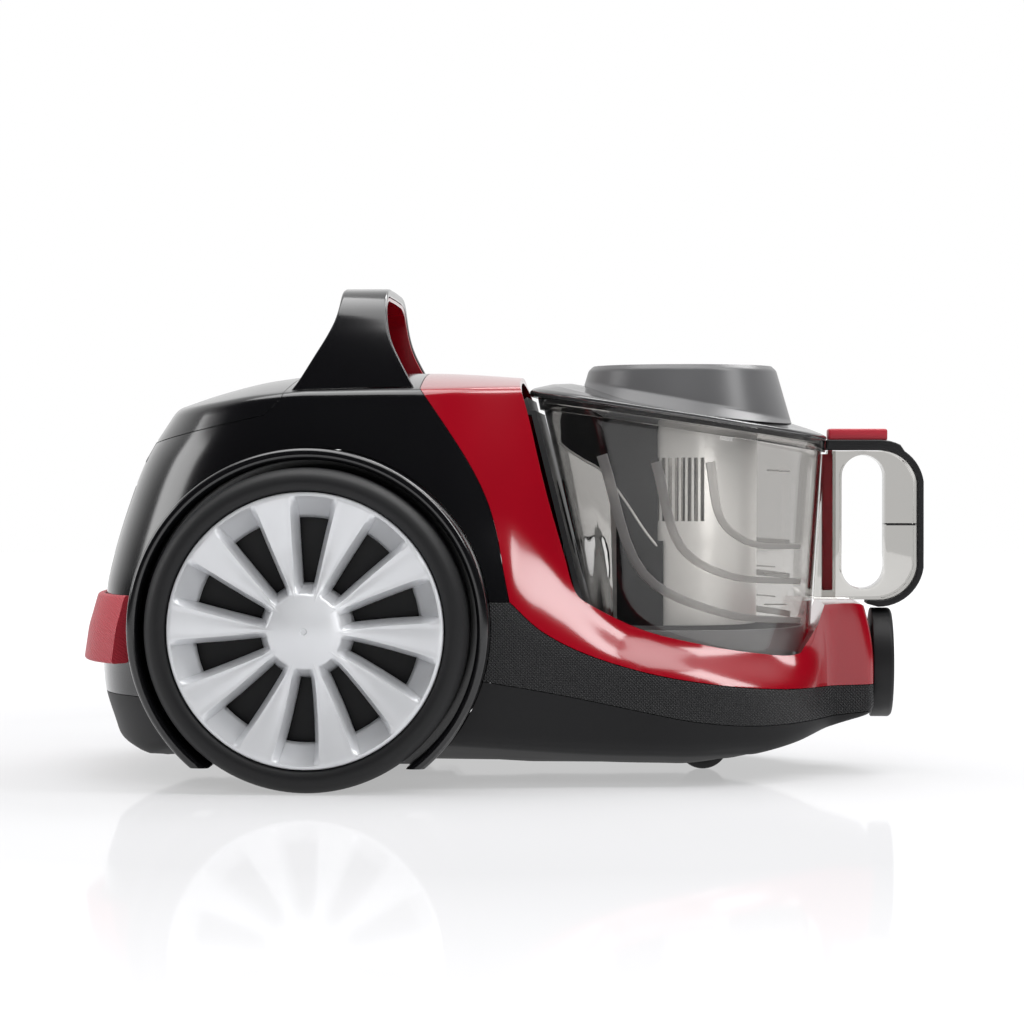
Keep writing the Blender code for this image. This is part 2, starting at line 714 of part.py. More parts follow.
def rear_plane_x(z):
    """The dust bin's flat rear wall leans back with height."""
    return 0.0215 + (0.2163 - z) * 0.2500


def bin_radius(bearing, z, grow):
    """Distance of the bin's wall from its axis, round at the front and flat at the rear."""
    radius = BIN_BOTTOM_R + BIN_TAPER * (z - BIN_BOTTOM_Z) + grow
    if cos(bearing) >= -0.05:
        return radius
    flat = (BIN_X - rear_plane_x(z) + grow) / -cos(bearing)
    return (radius**-CORNER_POWER + flat**-CORNER_POWER) ** (-1 / CORNER_POWER)


def bin_ring(grow, z=None, above_lid=None, scale=1.0):
    """A ring of the bin's outline, level at z or parallel to the lid's joint plane."""
    ring = []
    for i in range(BIN_SEGMENTS):
        bearing = 2 * pi * i / BIN_SEGMENTS
        height = z if z is not None else 0.205
        for _ in range(3):
            reach = bin_radius(bearing, height, grow) * scale
            x = BIN_X + reach * cos(bearing)
            if above_lid is not None:
                height = lid_height(x, above_lid)
        ring.append(Vector((x, reach * sin(bearing), height)))
    return ring


def round_ring(x, radius, z=None, above_lid=None):
    ring = []
    for i in range(BIN_SEGMENTS):
        bearing = 2 * pi * i / BIN_SEGMENTS
        at = x + radius * cos(bearing)
        height = z if z is not None else lid_height(at, above_lid)
        ring.append(Vector((at, radius * sin(bearing), height)))
    return ring


def dust_bin():
    rim = -0.0045
    container = loft("bin_container", [
        bin_ring(0, z=BIN_BOTTOM_Z), bin_ring(0, z=TRAY_RIM_Z), bin_ring(0, z=0.1300),
        bin_ring(0, above_lid=rim), bin_ring(-BIN_WALL, above_lid=rim),
        bin_ring(-BIN_WALL, z=0.1300), bin_ring(-BIN_WALL, z=TRAY_RIM_Z),
        bin_ring(-BIN_WALL, z=BIN_BOTTOM_Z),
    ], "smoke", loop=True)
    inlet_line = along_x(0.0150, INLET_Y, INLET_Z)
    inlet = cylinder("inlet_hole", 0.0125, 0.055, inlet_line, cutter=True, segments=24)
    boolean(container, inlet)
    tray = -BIN_WALL - 3 * GAP
    loft("bin_floor", [
        bin_ring(tray, z=BIN_BOTTOM_Z), bin_ring(tray, z=TRAY_RIM_Z),
        bin_ring(tray - 0.0020, z=TRAY_RIM_Z), bin_ring(tray - 0.0020, z=BIN_BOTTOM_Z + 0.0030),
    ], "satin_black")
    loft("lid_seal", [
        bin_ring(-0.0001, above_lid=-0.0041), bin_ring(-0.0001, above_lid=-0.0014),
        bin_ring(-BIN_WALL, above_lid=-0.0014), bin_ring(-BIN_WALL, above_lid=-0.0041),
    ], "rubber", loop=True)
    hole = 0.0480
    loft("bin_lid", [
        bin_ring(0.0024, above_lid=-0.0085), bin_ring(0.0024, above_lid=0.0015),
        bin_ring(0.0000, above_lid=0.0040), bin_ring(0, above_lid=0.0080, scale=0.90),
        round_ring(CAP_X, 0.0640, above_lid=0.0105), round_ring(CAP_X, hole, above_lid=0.0105),
        round_ring(CAP_X, hole, above_lid=0.0080), round_ring(CAP_X, 0.0640, above_lid=0.0080),
        bin_ring(0, above_lid=0.0050, scale=0.88), bin_ring(-0.0040, above_lid=-0.0010),
        bin_ring(0.0006, above_lid=-0.0010), bin_ring(0.0006, above_lid=-0.0085),
    ], "smoke", loop=True)


def cap_radius(z):
    return CAP_TOP_R + 0.0090 * (CAP_TOP_Z - z) / 0.0310


def cap_ring(grow, z=None, above_lid=None):
    ring = []
    for i in range(BIN_SEGMENTS):
        bearing = 2 * pi * i / BIN_SEGMENTS
        height = z if z is not None else 0.2150
        for _ in range(3):
            at = CAP_X + (cap_radius(height) + grow) * cos(bearing)
            if above_lid is not None:
                height = lid_height(at, above_lid)
        ring.append(Vector((at, (cap_radius(height) + grow) * sin(bearing), height)))
    return ring


def lid_fittings():
    """The filter cap, the cyclone body under the lid, and its filter."""
    foot = 0.0105 + GAP
    loft("filter_cap", [
        cap_ring(-0.0050, z=CAP_TOP_Z - 0.0030), cap_ring(-0.0030, above_lid=foot),
        cap_ring(0, above_lid=foot), cap_ring(0, z=0.2300), cap_ring(-0.0020, z=CAP_TOP_Z),
    ], "cap_grey")
    loft("cyclone_shroud", [
        round_ring(CAP_X, 0.0430, z=SHROUD_BOTTOM_Z), round_ring(CAP_X, 0.0430, above_lid=0.0056),
        round_ring(CAP_X, 0.0405, above_lid=0.0056), round_ring(CAP_X, 0.0405, z=SHROUD_BOTTOM_Z),
    ], "silver", loop=True)
    loft("cyclone_cone", [
        round_ring(CAP_X, 0.0120, z=0.1050), round_ring(CAP_X, 0.0300, z=0.1700),
        round_ring(CAP_X, 0.0300, z=0.1880), round_ring(CAP_X, 0.0275, z=0.1880),
        round_ring(CAP_X, 0.0275, z=0.1700), round_ring(CAP_X, 0.0095, z=0.1050),
    ], "smoke", loop=True)
    loft("vortex_filter", [
        round_ring(CAP_X, 0.0440, above_lid=0.0060), round_ring(CAP_X, 0.0440, z=0.2270),
        round_ring(CAP_X, 0.0300, z=0.2270), round_ring(CAP_X, 0.0300, above_lid=0.0060),
    ], "filter_white", loop=True)


def container_front_x(z):
    return BIN_X + BIN_BOTTOM_R + BIN_TAPER * (z - BIN_BOTTOM_Z) + GAP


def rounded_corner(centre, radius, start, stop, steps):
    """Points on an arc, in degrees, counter-clockwise in the x-z view if stop is the larger."""
    points = []
    for i in range(steps + 1):
        bearing = radians(start + (stop - start) * i / steps)
        points.append((centre[0] + radius * cos(bearing), centre[1] + radius * sin(bearing)))
    return points


def handle_outline(grow):
    """Outer edge of the bin handle, from its top at the bin round to its bottom."""
    top, bottom, right = 0.1838 + grow, 0.0985 - grow, 0.2390 + grow
    high = rounded_corner((0.2182, 0.1628), top - 0.1628, 90, 8, 5)
    low = rounded_corner((0.2173, 0.1205), 0.1205 - bottom, -8, -90, 5)
    return [(0.1885, top), *high, (right, 0.1417), *low]


UNDER_LID_Z = 0.1820         # the handle and its rod stay below the lid's skirt


def bin_handle():
    bottom = 0.0985
    ring = handle_outline(0.0)
    under_lid = [(container_front_x(UNDER_LID_Z), UNDER_LID_Z), (0.1885, UNDER_LID_Z)]
    outline = [*under_lid, *ring, (container_front_x(bottom), bottom)]
    finger = (
        rounded_corner((0.2088, 0.1690), 0.0125, 180, 0, 8)
        + rounded_corner((0.2088, 0.1170), 0.0125, 0, -180, 8)
    )
    flat_prism("bin_handle", outline, HANDLE_HALF_DEPTH, "smoke", holes=[finger])
    body = bpy.data.objects["bin_handle"]
    slot = block("rod_slot", (0.1852, -0.0055, 0.0995), (0.1932, 0.0055, 0.2200), cutter=True)
    boolean(body, slot)
    inner = handle_outline(GAP)
    outer = handle_outline(0.0042)
    raised = [(x, z + (0.0022 if z > 0.1838 else 0.0)) for x, z in outer]
    strip_outline = [*inner, (0.2110, 0.0985 - GAP), (0.2110, 0.0960), *reversed(raised)]
    strip_outline[-1] = (0.1880, 0.1902)
    strip_outline[0] = (0.1880, 0.1838 + GAP)
    strip = flat_prism("handle_strip", strip_outline, HANDLE_HALF_DEPTH, "rubber")
    pocket = block("button_pocket", (0.1700, -0.0096, 0.1858), (0.2232, 0.0096, 0.2300), cutter=True)
    boolean(strip, pocket)
    rod_pass = block("rod_pass", (0.1700, -0.0055, 0.1800), (0.1932, 0.0055, 0.2300), cutter=True)
    boolean(strip, rod_pass)
    block("release_button", (0.1888, -0.0090, 0.1896), (0.2227, 0.0090, 0.1966), "grip_red", bevel=0.0012)
    rod = block("release_rod", (0.1858, -0.0040, 0.1035), (0.1916, 0.0040, UNDER_LID_Z), "grip_red")
    tongue = block("rod_tongue", (0.1892, -0.0036, 0.1800), (0.1914, 0.0036, 0.1892), cutter=True)
    boolean(rod, tongue, "UNION")


# ---------------------------------------------------------------- hose port and air path
def air_path(shrunk):
    mouth, face = 0.2252, FRONT_X + GAP
    port = [
        (0.0270, mouth), (0.0300, mouth), (PORT_R, mouth - 0.0015), (PORT_R, face),
        (0.0217, face), (0.0217, 0.2000), (0.0195, 0.2000), (0.0195, face + 0.0030),
        (0.0270, face + 0.0030),
    ]
    turned("hose_port", port, 36, along_x(0.0, 0, PORT_Z), "satin_black")
    behind_lid = [(rear_plane_x(z) - 0.0042, z) for z in (0.2200, 0.2062)]
    behind_bin = [(rear_plane_x(z) - 0.0010, z) for z in (0.2058, 0.0630)]
    cradle_line = [*behind_lid, *behind_bin, (0.1600, 0.0630)]
    back = [(x - 0.0026, z - 0.0022) for x, z in reversed(cradle_line)]
    cradle = flat_prism("bin_cradle", cradle_line + back, 0.14, "satin_black")
    boolean(cradle, shrunk, "INTERSECT")
    outlet_line = along_x(-0.0200, MOTOR_Y, 0.1450)
    outlet = cylinder("outlet_hole", 0.0220, 0.08, outlet_line, cutter=True, segments=28)
    boolean(cradle, outlet)
    boolean(cradle, bpy.data.objects["inlet_hole"])
    duct_centre = [
        (0.1995, 0.0000, 0.0620), (0.1925, 0.0005, 0.0600), (0.1800, 0.0110, 0.0465),
        (0.1560, 0.0400, 0.0410),
        (0.1050, 0.0530, 0.0400), (0.0560, 0.0500, 0.0400), (0.0330, 0.0470, 0.0450),
        (0.0160, 0.0430, 0.0680), (0.0120, INLET_Y, 0.1000), (0.0190, INLET_Y, 0.1180),
        (0.0365, INLET_Y, INLET_Z),
    ]
    curve = bpy.data.curves.new("inlet_duct", "CURVE")
    curve.dimensions = "3D"
    curve.bevel_depth = 0.0150
    curve.bevel_resolution = 3
    spline = curve.splines.new("POLY")
    spline.points.add(len(duct_centre) - 1)
    for target, point in zip(spline.points, duct_centre):
        target.co = (*point, 1.0)
    duct = baked(place(bpy.data.objects.new("inlet_duct", curve), "satin_black"))
    thick = duct.modifiers.new("wall", "SOLIDIFY")
    thick.thickness = 0.0018
    thick.offset = -1.0


def internals():
    """What the casing holds: motor, fan, filters, cord reel and control board."""
    base = along_x(-0.0980, MOTOR_Y, MOTOR_Z)
    can = [
        (0.0080, 0.0000), (0.0080, -0.0020), (0.0430, -0.0020), (0.0430, 0.0480), (0.0530, 0.0480),
        (0.0530, 0.0800), (0.0180, 0.0800), (0.0180, 0.0780), (0.0510, 0.0780), (0.0510, 0.0500),
        (0.0410, 0.0500), (0.0410, 0.0000),
    ]
    turned("motor_housing", list(reversed(can)), 28, base, "steel")
    rotor = [
        (0.0, 0.0526), (0.0040, 0.0526), (0.0040, 0.0460), (0.0280, 0.0460), (0.0280, 0.0060),
        (0.0040, 0.0060), (0.0040, -0.0040), (0.0, -0.0040),
    ]
    turned("motor_rotor", rotor, 20, base, "steel", ring=False)
    fan = [
        (0.0, 0.0760), (0.0140, 0.0750), (0.0200, 0.0640), (0.0480, 0.0600), (0.0480, 0.0530),
        (0.0, 0.0530),
    ]
    turned("fan_impeller", fan, 28, base, "steel", ring=False)
    mounts = (("motor_front_mount", 0.0600, 0.0535), ("motor_rear_mount", 0.0100, 0.0435))
    for name, start, radius in mounts:
        stop, outside = start + 0.0100, radius + 0.0050
        mount = [(radius, stop), (outside, stop), (outside, start), (radius, start)]
        turned(name, mount, 28, base, "rubber")
    disc = [(0.0, 0.0960), (0.0320, 0.0960), (0.0320, 0.0860), (0.0, 0.0860)]
    turned("premotor_filter", disc, 24, base, "filter_white", ring=False)
    reel_x, reel_z = -0.1550, 0.1000
    drum = [
        (0.0062, 0.0400), (0.0400, 0.0400), (0.0400, 0.0375), (0.0200, 0.0375), (0.0200, 0.0025),
        (0.0400, 0.0025), (0.0400, 0.0000), (0.0062, 0.0000),
    ]
    turned("cord_reel", drum, 28, along_y(reel_x, -0.0200, reel_z), "satin_black")
    cylinder("reel_axle", 0.0055, 0.0560, along_y(reel_x, -0.0280, reel_z), "steel", segments=16)
    bracket_outline = [
        (reel_x - 0.0120, 0.0186), (reel_x + 0.0120, 0.0186), (reel_x + 0.0070, reel_z + 0.0100),
        (reel_x - 0.0070, reel_z + 0.0100),
    ]
    hole = rounded_corner((reel_x, reel_z), 0.0058, 0, 330, 11)
    for word, y in (("left", 0.0235), ("right", -0.0235)):
        flat_prism(
            f"reel_bracket_{word}", bracket_outline, 0.0015, "satin_black", holes=[hole], middle_y=y
        )
    block("exhaust_filter", (-0.1992, -0.0460, 0.1460), (-0.1772, 0.0460, 0.1640), "filter_white")
    block("control_board", (-0.0950, -0.0400, 0.1980), (-0.0150, 0.0400, 0.1996), "board_green")


# ---------------------------------------------------------------- assembly
def build():
    outer = casing_solid("casing_outer", 0.0)
    grown = casing_solid("casing_grown", -GAP)
    inner = casing_solid("casing_inner", WALL)
    shrunk = casing_solid("casing_shrunk", WALL + 6 * GAP)
    shells = casing(inner, outer)
    exhaust_door(shells, outer, inner)
    pedals(shells)
    cord_outlet(shells)
    bumper(grown)
    carry_handle(grown)
    wheel(1, "left")
    wheel(-1, "right")
    caster()
    dust_bin()
    lid_fittings()
    bin_handle()
    air_path(shrunk)
    internals()


clear_scene()
MATERIALS = make_materials()
build()
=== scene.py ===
"""Looks of the canister vacuum cleaner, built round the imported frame."""
from math import cos, pi, radians, sin, sqrt

import bmesh
import bpy
import numpy as np
from mathutils import Matrix, Vector

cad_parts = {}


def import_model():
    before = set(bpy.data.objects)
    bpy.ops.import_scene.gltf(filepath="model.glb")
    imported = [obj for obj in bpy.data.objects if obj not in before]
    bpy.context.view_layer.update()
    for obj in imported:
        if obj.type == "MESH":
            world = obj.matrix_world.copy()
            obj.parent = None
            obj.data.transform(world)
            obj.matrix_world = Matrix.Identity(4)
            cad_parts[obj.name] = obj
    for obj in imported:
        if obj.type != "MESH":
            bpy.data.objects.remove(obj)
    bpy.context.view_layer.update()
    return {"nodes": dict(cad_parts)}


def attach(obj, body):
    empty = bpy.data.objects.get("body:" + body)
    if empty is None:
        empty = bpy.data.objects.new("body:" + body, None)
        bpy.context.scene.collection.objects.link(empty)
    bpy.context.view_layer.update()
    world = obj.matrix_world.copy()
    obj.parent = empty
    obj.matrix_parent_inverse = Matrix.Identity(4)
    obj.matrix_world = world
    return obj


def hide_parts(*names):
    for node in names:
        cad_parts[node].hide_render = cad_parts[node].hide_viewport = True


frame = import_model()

# ---------------------------------------------------------------- sizes shared with the part
GAP = 0.0004
WALL = 0.003
WHEEL_X = -0.098
WHEEL_Z = 0.0875 * cos(pi / 44)
WHEEL_FACE = 0.112
ARCH_R = 0.0978
REAR_CENTRE_X = -0.06
BODY_HALF_WIDTH = 0.1285
PLAN_POWER = 3.0
FRONT_X = 0.213
NECK_HALF_WIDTH = 0.04
NOSE_R = 0.108
NOSE_X = 0.085
CROWN_DROP = 1.1
WAIST = 0.019
BIN_X = 0.1015
BIN_BOTTOM_Z = 0.066
BIN_BOTTOM_R = 0.0765
BIN_TAPER = 0.0612
BIN_WALL = 0.0025
TRAY_RIM_Z = 0.084
LID_REAR = (0.0145, 0.2172)
LID_FRONT = (0.1862, 0.1915)
LID_FRONT_RISE = 0.45
CAP_X = 0.105
CAP_TOP_Z = 0.2325
CAP_TOP_R = 0.0535
SHROUD_R = 0.043
SHROUD_BOTTOM_Z = 0.085
PORT_Z = 0.062
CASTER_X = 0.124
CASTER_TRAIL = 0.007
CASTER_Z = 0.015 * cos(pi / 28)
HANDLE_HALF_DEPTH = 0.013
REAR_BASE_SEAM_Z = 0.0482

REAR_PROFILE = [
    (0.0, -0.2098), (0.028, -0.2186), (0.053, -0.2259), (0.069, -0.2269), (0.107, -0.2245),
    (0.124, -0.2208), (0.151, -0.2128), (0.179, -0.2021), (0.203, -0.1874), (0.24, -0.1632),
]
CROWN_LINE = [
    (-0.25, 0.18), (-0.2, 0.203), (-0.183, 0.2088), (-0.157, 0.2175), (-0.128, 0.2244),
    (-0.1, 0.2275), (-0.04, 0.2285), (0.0134, 0.2258), (0.06, 0.22), (0.23, 0.2),
]
KEEL_LINE = [
    (-0.25, 0.03), (-0.204, 0.019), (-0.187, 0.015), (-0.16, 0.015), (0.1, 0.0112),
    (0.141, 0.016), (0.168, 0.0212), (0.18, 0.025), (0.195, 0.03), (0.23, 0.04),
]
BLACK_RED_SEAM = [
    (-0.0405, 0.245), (-0.04, 0.218), (-0.0238, 0.1944), (-0.0113, 0.1743),
    (-0.0026, 0.1558), (0.0029, 0.1367), (0.0061, 0.1199), (0.0099, 0.1014),
]
RED_LOWER_EDGE = [
    (0.0099, 0.1014), (0.0262, 0.0862), (0.048, 0.0742), (0.0806, 0.0634),
    (0.1132, 0.057), (0.1458, 0.0528), (0.1784, 0.051), (0.23, 0.0525),
]
BAND_LOWER_EDGE = [
    (-0.0064, 0.059), (0.0371, 0.0509), (0.0806, 0.0416), (0.1132, 0.0353),
    (0.1458, 0.0323), (0.1784, 0.033), (0.2035, 0.0358), (0.23, 0.0378),
]
BIN_OPENING = [
    (0.0133, 0.2224), (0.0188, 0.2032), (0.0286, 0.1622), (0.0396, 0.1239), (0.0434, 0.1102),
    (0.047, 0.1035), (0.0533, 0.099), (0.0806, 0.0856), (0.1134, 0.0772), (0.14, 0.0722),
    (0.167, 0.0698), (0.176, 0.0745), (0.1805, 0.086), (0.1845, 0.097),
]
NECK_TOP = [(0.1845, 0.097), (0.205, 0.0972), (0.21, 0.094), (0.24, 0.088)]
COVER_SEAM = [
    (-0.26, 0.172), (-0.1803, 0.1912), (-0.1257, 0.2031), (-0.1163, 0.2122), (-0.105, 0.245),
]
HANDLE_ARCH = [
    (0.0985, 0.195), (0.0985, 0.208), (0.0955, 0.222), (0.09, 0.238), (0.0835, 0.252),
    (0.076, 0.2638), (0.064, 0.2718), (0.048, 0.275), (0.024, 0.2755), (0.0, 0.2757),
]
HANDLE_SPAN = [
    (0.195, -0.13, -0.033), (0.208, -0.1195, -0.036), (0.2173, -0.1104, -0.0423),
    (0.2312, -0.1021, -0.05), (0.245, -0.0938, -0.0572), (0.2616, -0.0868, -0.06),
    (0.28, -0.0858, -0.0605),
]


# ---------------------------------------------------------------- curves and meshes
def pchip(table, column=1):
    """A smooth function through a table's rows that never overshoots them."""
    xs = np.array([row[0] for row in table])
    ys = np.array([row[column] for row in table])
    step = np.diff(xs)
    rise = np.diff(ys) / step
    slope = np.zeros(len(xs))
    for i in range(1, len(xs) - 1):
        if rise[i - 1] * rise[i] > 0:
            first, second = 2 * step[i] + step[i - 1], step[i] + 2 * step[i - 1]
            slope[i] = (first + second) / (first / rise[i - 1] + second / rise[i])
    slope[0], slope[-1] = rise[0], rise[-1]

    def at(x):
        x = np.clip(x, xs[0], xs[-1])
        i = np.clip(np.searchsorted(xs, x) - 1, 0, len(xs) - 2)
        t = (x - xs[i]) / step[i]
        return (
            (1 + 2 * t) * (1 - t) ** 2 * ys[i] + t * (1 - t) ** 2 * step[i] * slope[i]
            + t * t * (3 - 2 * t) * ys[i + 1] + t * t * (t - 1) * step[i] * slope[i + 1]
        )

    return at


def spline(points, per=8):
    """Points along a smooth line through the given ones."""
    given = [np.array(p, float) for p in points]
    ends = [2 * given[0] - given[1], *given, 2 * given[-1] - given[-2]]
    made = []
    for a, b, c, d in zip(ends, ends[1:], ends[2:], ends[3:]):
        knots = [0.0]
        for p, q in ((a, b), (b, c), (c, d)):
            knots.append(knots[-1] + max(1e-6, np.linalg.norm(q - p)) ** 0.5)
        t0, t1, t2, t3 = knots
        for i in range(per):
            t = t1 + (t2 - t1) * i / per
            ab = (t1 - t) / (t1 - t0) * a + (t - t0) / (t1 - t0) * b
            bc = (t2 - t) / (t2 - t1) * b + (t - t1) / (t2 - t1) * c
            cd = (t3 - t) / (t3 - t2) * c + (t - t2) / (t3 - t2) * d
            abc = (t2 - t) / (t2 - t0) * ab + (t - t0) / (t2 - t0) * bc
            bcd = (t3 - t) / (t3 - t1) * bc + (t - t1) / (t3 - t1) * cd
            made.append(tuple((t2 - t) / (t2 - t1) * abc + (t - t1) / (t2 - t1) * bcd))
    made.append(tuple(given[-1]))
    return made


def filleted(points, radius, steps=4, closed=True, keep=()):
    """A polyline with its corners rounded. Corners whose numbers are in keep stay sharp."""
    count = len(points)
    made = []
    for i, point in enumerate(points):
        corner = Vector(point)
        if i in keep or not closed and i in (0, count - 1):
            made.append(tuple(corner))
            continue
        before = Vector(points[i - 1]) - corner
        after = Vector(points[(i + 1) % count]) - corner
        reach = min(radius, before.length * 0.45, after.length * 0.45)
        start = corner + before.normalized() * reach
        stop = corner + after.normalized() * reach
        for j in range(steps + 1):
            t = j / steps
            made.append(tuple((1 - t) ** 2 * start + 2 * t * (1 - t) * corner + t * t * stop))
    return made


def linked(name, data):
    obj = bpy.data.objects.new(name, data)
    bpy.context.scene.collection.objects.link(obj)
    return obj


def from_bmesh(name, bm, weld=1e-6, outward=True):
    """An object from a bmesh, with doubled points and empty faces removed."""
    bmesh.ops.remove_doubles(bm, verts=bm.verts, dist=weld)
    empty = [f for f in bm.faces if f.calc_area() < 1e-14]
    bmesh.ops.delete(bm, geom=empty, context="FACES")
    if outward:
        bmesh.ops.recalc_face_normals(bm, faces=bm.faces)
    data = bpy.data.meshes.new(name)
    bm.to_mesh(data)
    bm.free()
    return linked(name, data)


def join(bm, low, high, closed=True):
    """Quads between two rows of vertices."""
    count = len(low)
    for i in range(count if closed else count - 1):
        j = (i + 1) % count
        bm.faces.new((low[i], low[j], high[j], high[i]))


def loft(name, rings, loop=False, caps=True, weld=1e-6, closed=True):
    """A surface through rings of equal point count."""
    bm = bmesh.new()
    rows = [[bm.verts.new(tuple(point)) for point in ring] for ring in rings]
    for low, high in zip(rows, rows[1:] + rows[:1] if loop else rows[1:]):
        join(bm, low, high, closed)
    if caps and not loop:
        bm.faces.new(rows[0])
        bm.faces.new(rows[-1])
    return from_bmesh(name, bm, weld)


def lathe(name, profile, matrix=Matrix(), steps=96, closed=True):
    """A (radius, height) profile turned about the matrix's z axis."""
    rings = []
    for i in range(steps):
        turn = 2 * pi * i / steps
        rings.append([matrix @ Vector((r * cos(turn), r * sin(turn), h)) for r, h in profile])
    return loft(name, rings, loop=True, closed=closed)


def prism(name, outline, half_depth, middle_y=0.0, holes=(), edge=0.0):
    """An (x, z) outline, less its holes, made thick along y, with rounded edges."""
    curve = bpy.data.curves.new(name, "CURVE")
    curve.dimensions = "2D"
    curve.fill_mode = "BOTH"
    curve.extrude = half_depth - edge
    curve.bevel_depth = edge
    curve.bevel_resolution = 2
    curve.offset = -edge
    for points in [outline, *holes]:
        line = curve.splines.new("POLY")
        line.points.add(len(points) - 1)
        for target, point in zip(line.points, points):
            target.co = (point[0], point[1], 0.0, 1.0)
        line.use_cyclic_u = True
    obj = linked(name, curve)
    obj.matrix_world = Matrix.Translation((0, middle_y, 0)) @ Matrix.Rotation(pi / 2, 4, "X")
    return baked(obj)


def fresh_copy(obj):
    """A bmesh of the object with its modifiers applied."""
    bpy.context.view_layer.update()
    graph = bpy.context.evaluated_depsgraph_get()
    data = bpy.data.meshes.new_from_object(obj.evaluated_get(graph))
    bm = bmesh.new()
    bm.from_mesh(data)
    bpy.data.meshes.remove(data)
    return bm


def baked(obj):
    """The object as a plain mesh at the origin, modifiers applied."""
    bm = fresh_copy(obj)
    bm.transform(obj.matrix_world)
    name = obj.name
    bpy.data.objects.remove(obj)
    return from_bmesh(name, bm, 1e-5)


def cut(obj, cutters, operation="DIFFERENCE", weld=2e-5):
    """The object after a Boolean with each cutter, which are removed."""
    for cutter in cutters:
        step = obj.modifiers.new("cut", "BOOLEAN")
        step.operation = operation
        step.object = cutter
        step.solver = "MANIFOLD"
    bm = fresh_copy(obj)
    name = obj.name
    for gone in [obj, *cutters]:
        bpy.data.objects.remove(gone)
    return from_bmesh(name, bm, weld, outward=False)


def copy_of(obj, name):
    return linked(name, obj.data.copy())


def box(name, low, high, edge=0.0, matrix=Matrix()):
    bm = bmesh.new()
    bmesh.ops.create_cube(bm, size=1.0)
    size = Vector(high) - Vector(low)
    bmesh.ops.scale(bm, vec=size, verts=bm.verts)
    bmesh.ops.translate(bm, vec=(Vector(high) + Vector(low)) / 2, verts=bm.verts)
    if edge:
        bmesh.ops.bevel(bm, geom=bm.edges[:], offset=edge, segments=3, profile=0.5, affect="EDGES")
    bmesh.ops.transform(bm, matrix=matrix, verts=bm.verts)
    return from_bmesh(name, bm)


def tube(name, points, radius, sides=16):
    """A round tube along a smooth line, with rounded ends."""
    line = [Vector(p) for p in points]
    rings = []
    side = Vector((0, 1, 0))
    for i, point in enumerate(line):
        ahead = (line[min(i + 1, len(line) - 1)] - line[max(i - 1, 0)]).normalized()
        across = ahead.cross(side).normalized()
        up = across.cross(ahead).normalized()
        side = up
        reach = radius * (0.55 if i in (0, len(line) - 1) else 1.0)
        ring = []
        for k in range(sides):
            turn = 2 * pi * k / sides
            ring.append(point + (across * cos(turn) + up * sin(turn)) * reach)
        rings.append(ring)
    return loft(name, rings)


def smooth(obj, angle=38):
    obj.data.shade_smooth()
    obj.data.set_sharp_from_angle(angle=radians(angle))
    return obj


def bevelled(obj, width, segments, angle):
    edge = obj.modifiers.new("edge", "BEVEL")
    edge.width = width
    edge.segments = segments
    edge.limit_method = "ANGLE"
    edge.angle_limit = radians(angle)
    return edge


def soften(obj, width=0.0005):
    """Rounds the object's sharp edges."""
    bevelled(obj, width, 3, 38).harden_normals = True
    return smooth(obj)


def wheel_matrix(side, offset=0.0):
    turn = Matrix.Rotation(-side * pi / 2, 4, "X")
    return Matrix.Translation((WHEEL_X, side * (WHEEL_FACE + offset), WHEEL_Z)) @ turn


def along_x(x, y, z):
    return Matrix.Translation((x, y, z)) @ Matrix.Rotation(pi / 2, 4, "Y")


def along_y(x, y, z):
    return Matrix.Translation((x, y, z)) @ Matrix.Rotation(-pi / 2, 4, "X")


def done(obj, body, slot, *nodes):
    """Gives a piece its finish and its body, and hides the part's nodes that it stands for."""
    obj.data.materials.clear()
    obj.data.materials.append(MATERIALS[slot])
    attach(obj, body)
    if nodes:
        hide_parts(*nodes)
    return obj


# ---------------------------------------------------------------- materials
class Nodes:
    """A node tree, with short ways to add to it."""

    def __init__(self, tree, coordinates="Object"):
        self.tree = tree
        self.place = self.add("ShaderNodeTexCoord").outputs[coordinates]

    def add(self, kind, links=(), **values):
        node = self.tree.nodes.new(kind)
        for key, value in values.items():
            setattr(node, key, value)
        for key, value in dict(links).items():
            self.put(node.inputs[key], value)
        return node

    def put(self, socket, value):
        if isinstance(value, bpy.types.NodeSocket):
            self.tree.links.new(value, socket)
        else:
            socket.default_value = value

    def noise(self, scale, detail=2.0):
        made = self.add("ShaderNodeTexNoise", {
            "Vector": self.place, "Scale": scale, "Detail": detail, "Roughness": 0.5,
        })
        return made.outputs["Fac"]

    def waves(self, scale, turn):
        """Straight ridges at a slant in the x-z plane."""
        where = self.add("ShaderNodeMapping", {"Vector": self.place, "Rotation": (0, radians(turn), 0)})
        made = self.add(
            "ShaderNodeTexWave", {"Vector": where.outputs["Vector"], "Scale": scale, "Distortion": 0.0},
            bands_direction="X",
        )
        return made.outputs["Fac"]

    def between(self, fac, low, high):
        made = self.add("ShaderNodeMapRange", {"Value": fac, "To Min": low, "To Max": high})
        return made.outputs["Result"]

    def math(self, operation, first, second):
        return self.add("ShaderNodeMath", {0: first, 1: second}, operation=operation).outputs[0]

    def mixed(self, fac, first, second):
        made = self.add("ShaderNodeMix", {"Factor": fac}, data_type="RGBA")
        colours = [socket for socket in made.inputs if socket.type == "RGBA"]
        self.put(colours[0], first)
        self.put(colours[1], second)
        return [socket for socket in made.outputs if socket.type == "RGBA"][0]

    def bump(self, height, strength, distance):
        links = {"Height": height, "Strength": strength, "Distance": distance}
        return self.add("ShaderNodeBump", links).outputs["Normal"]


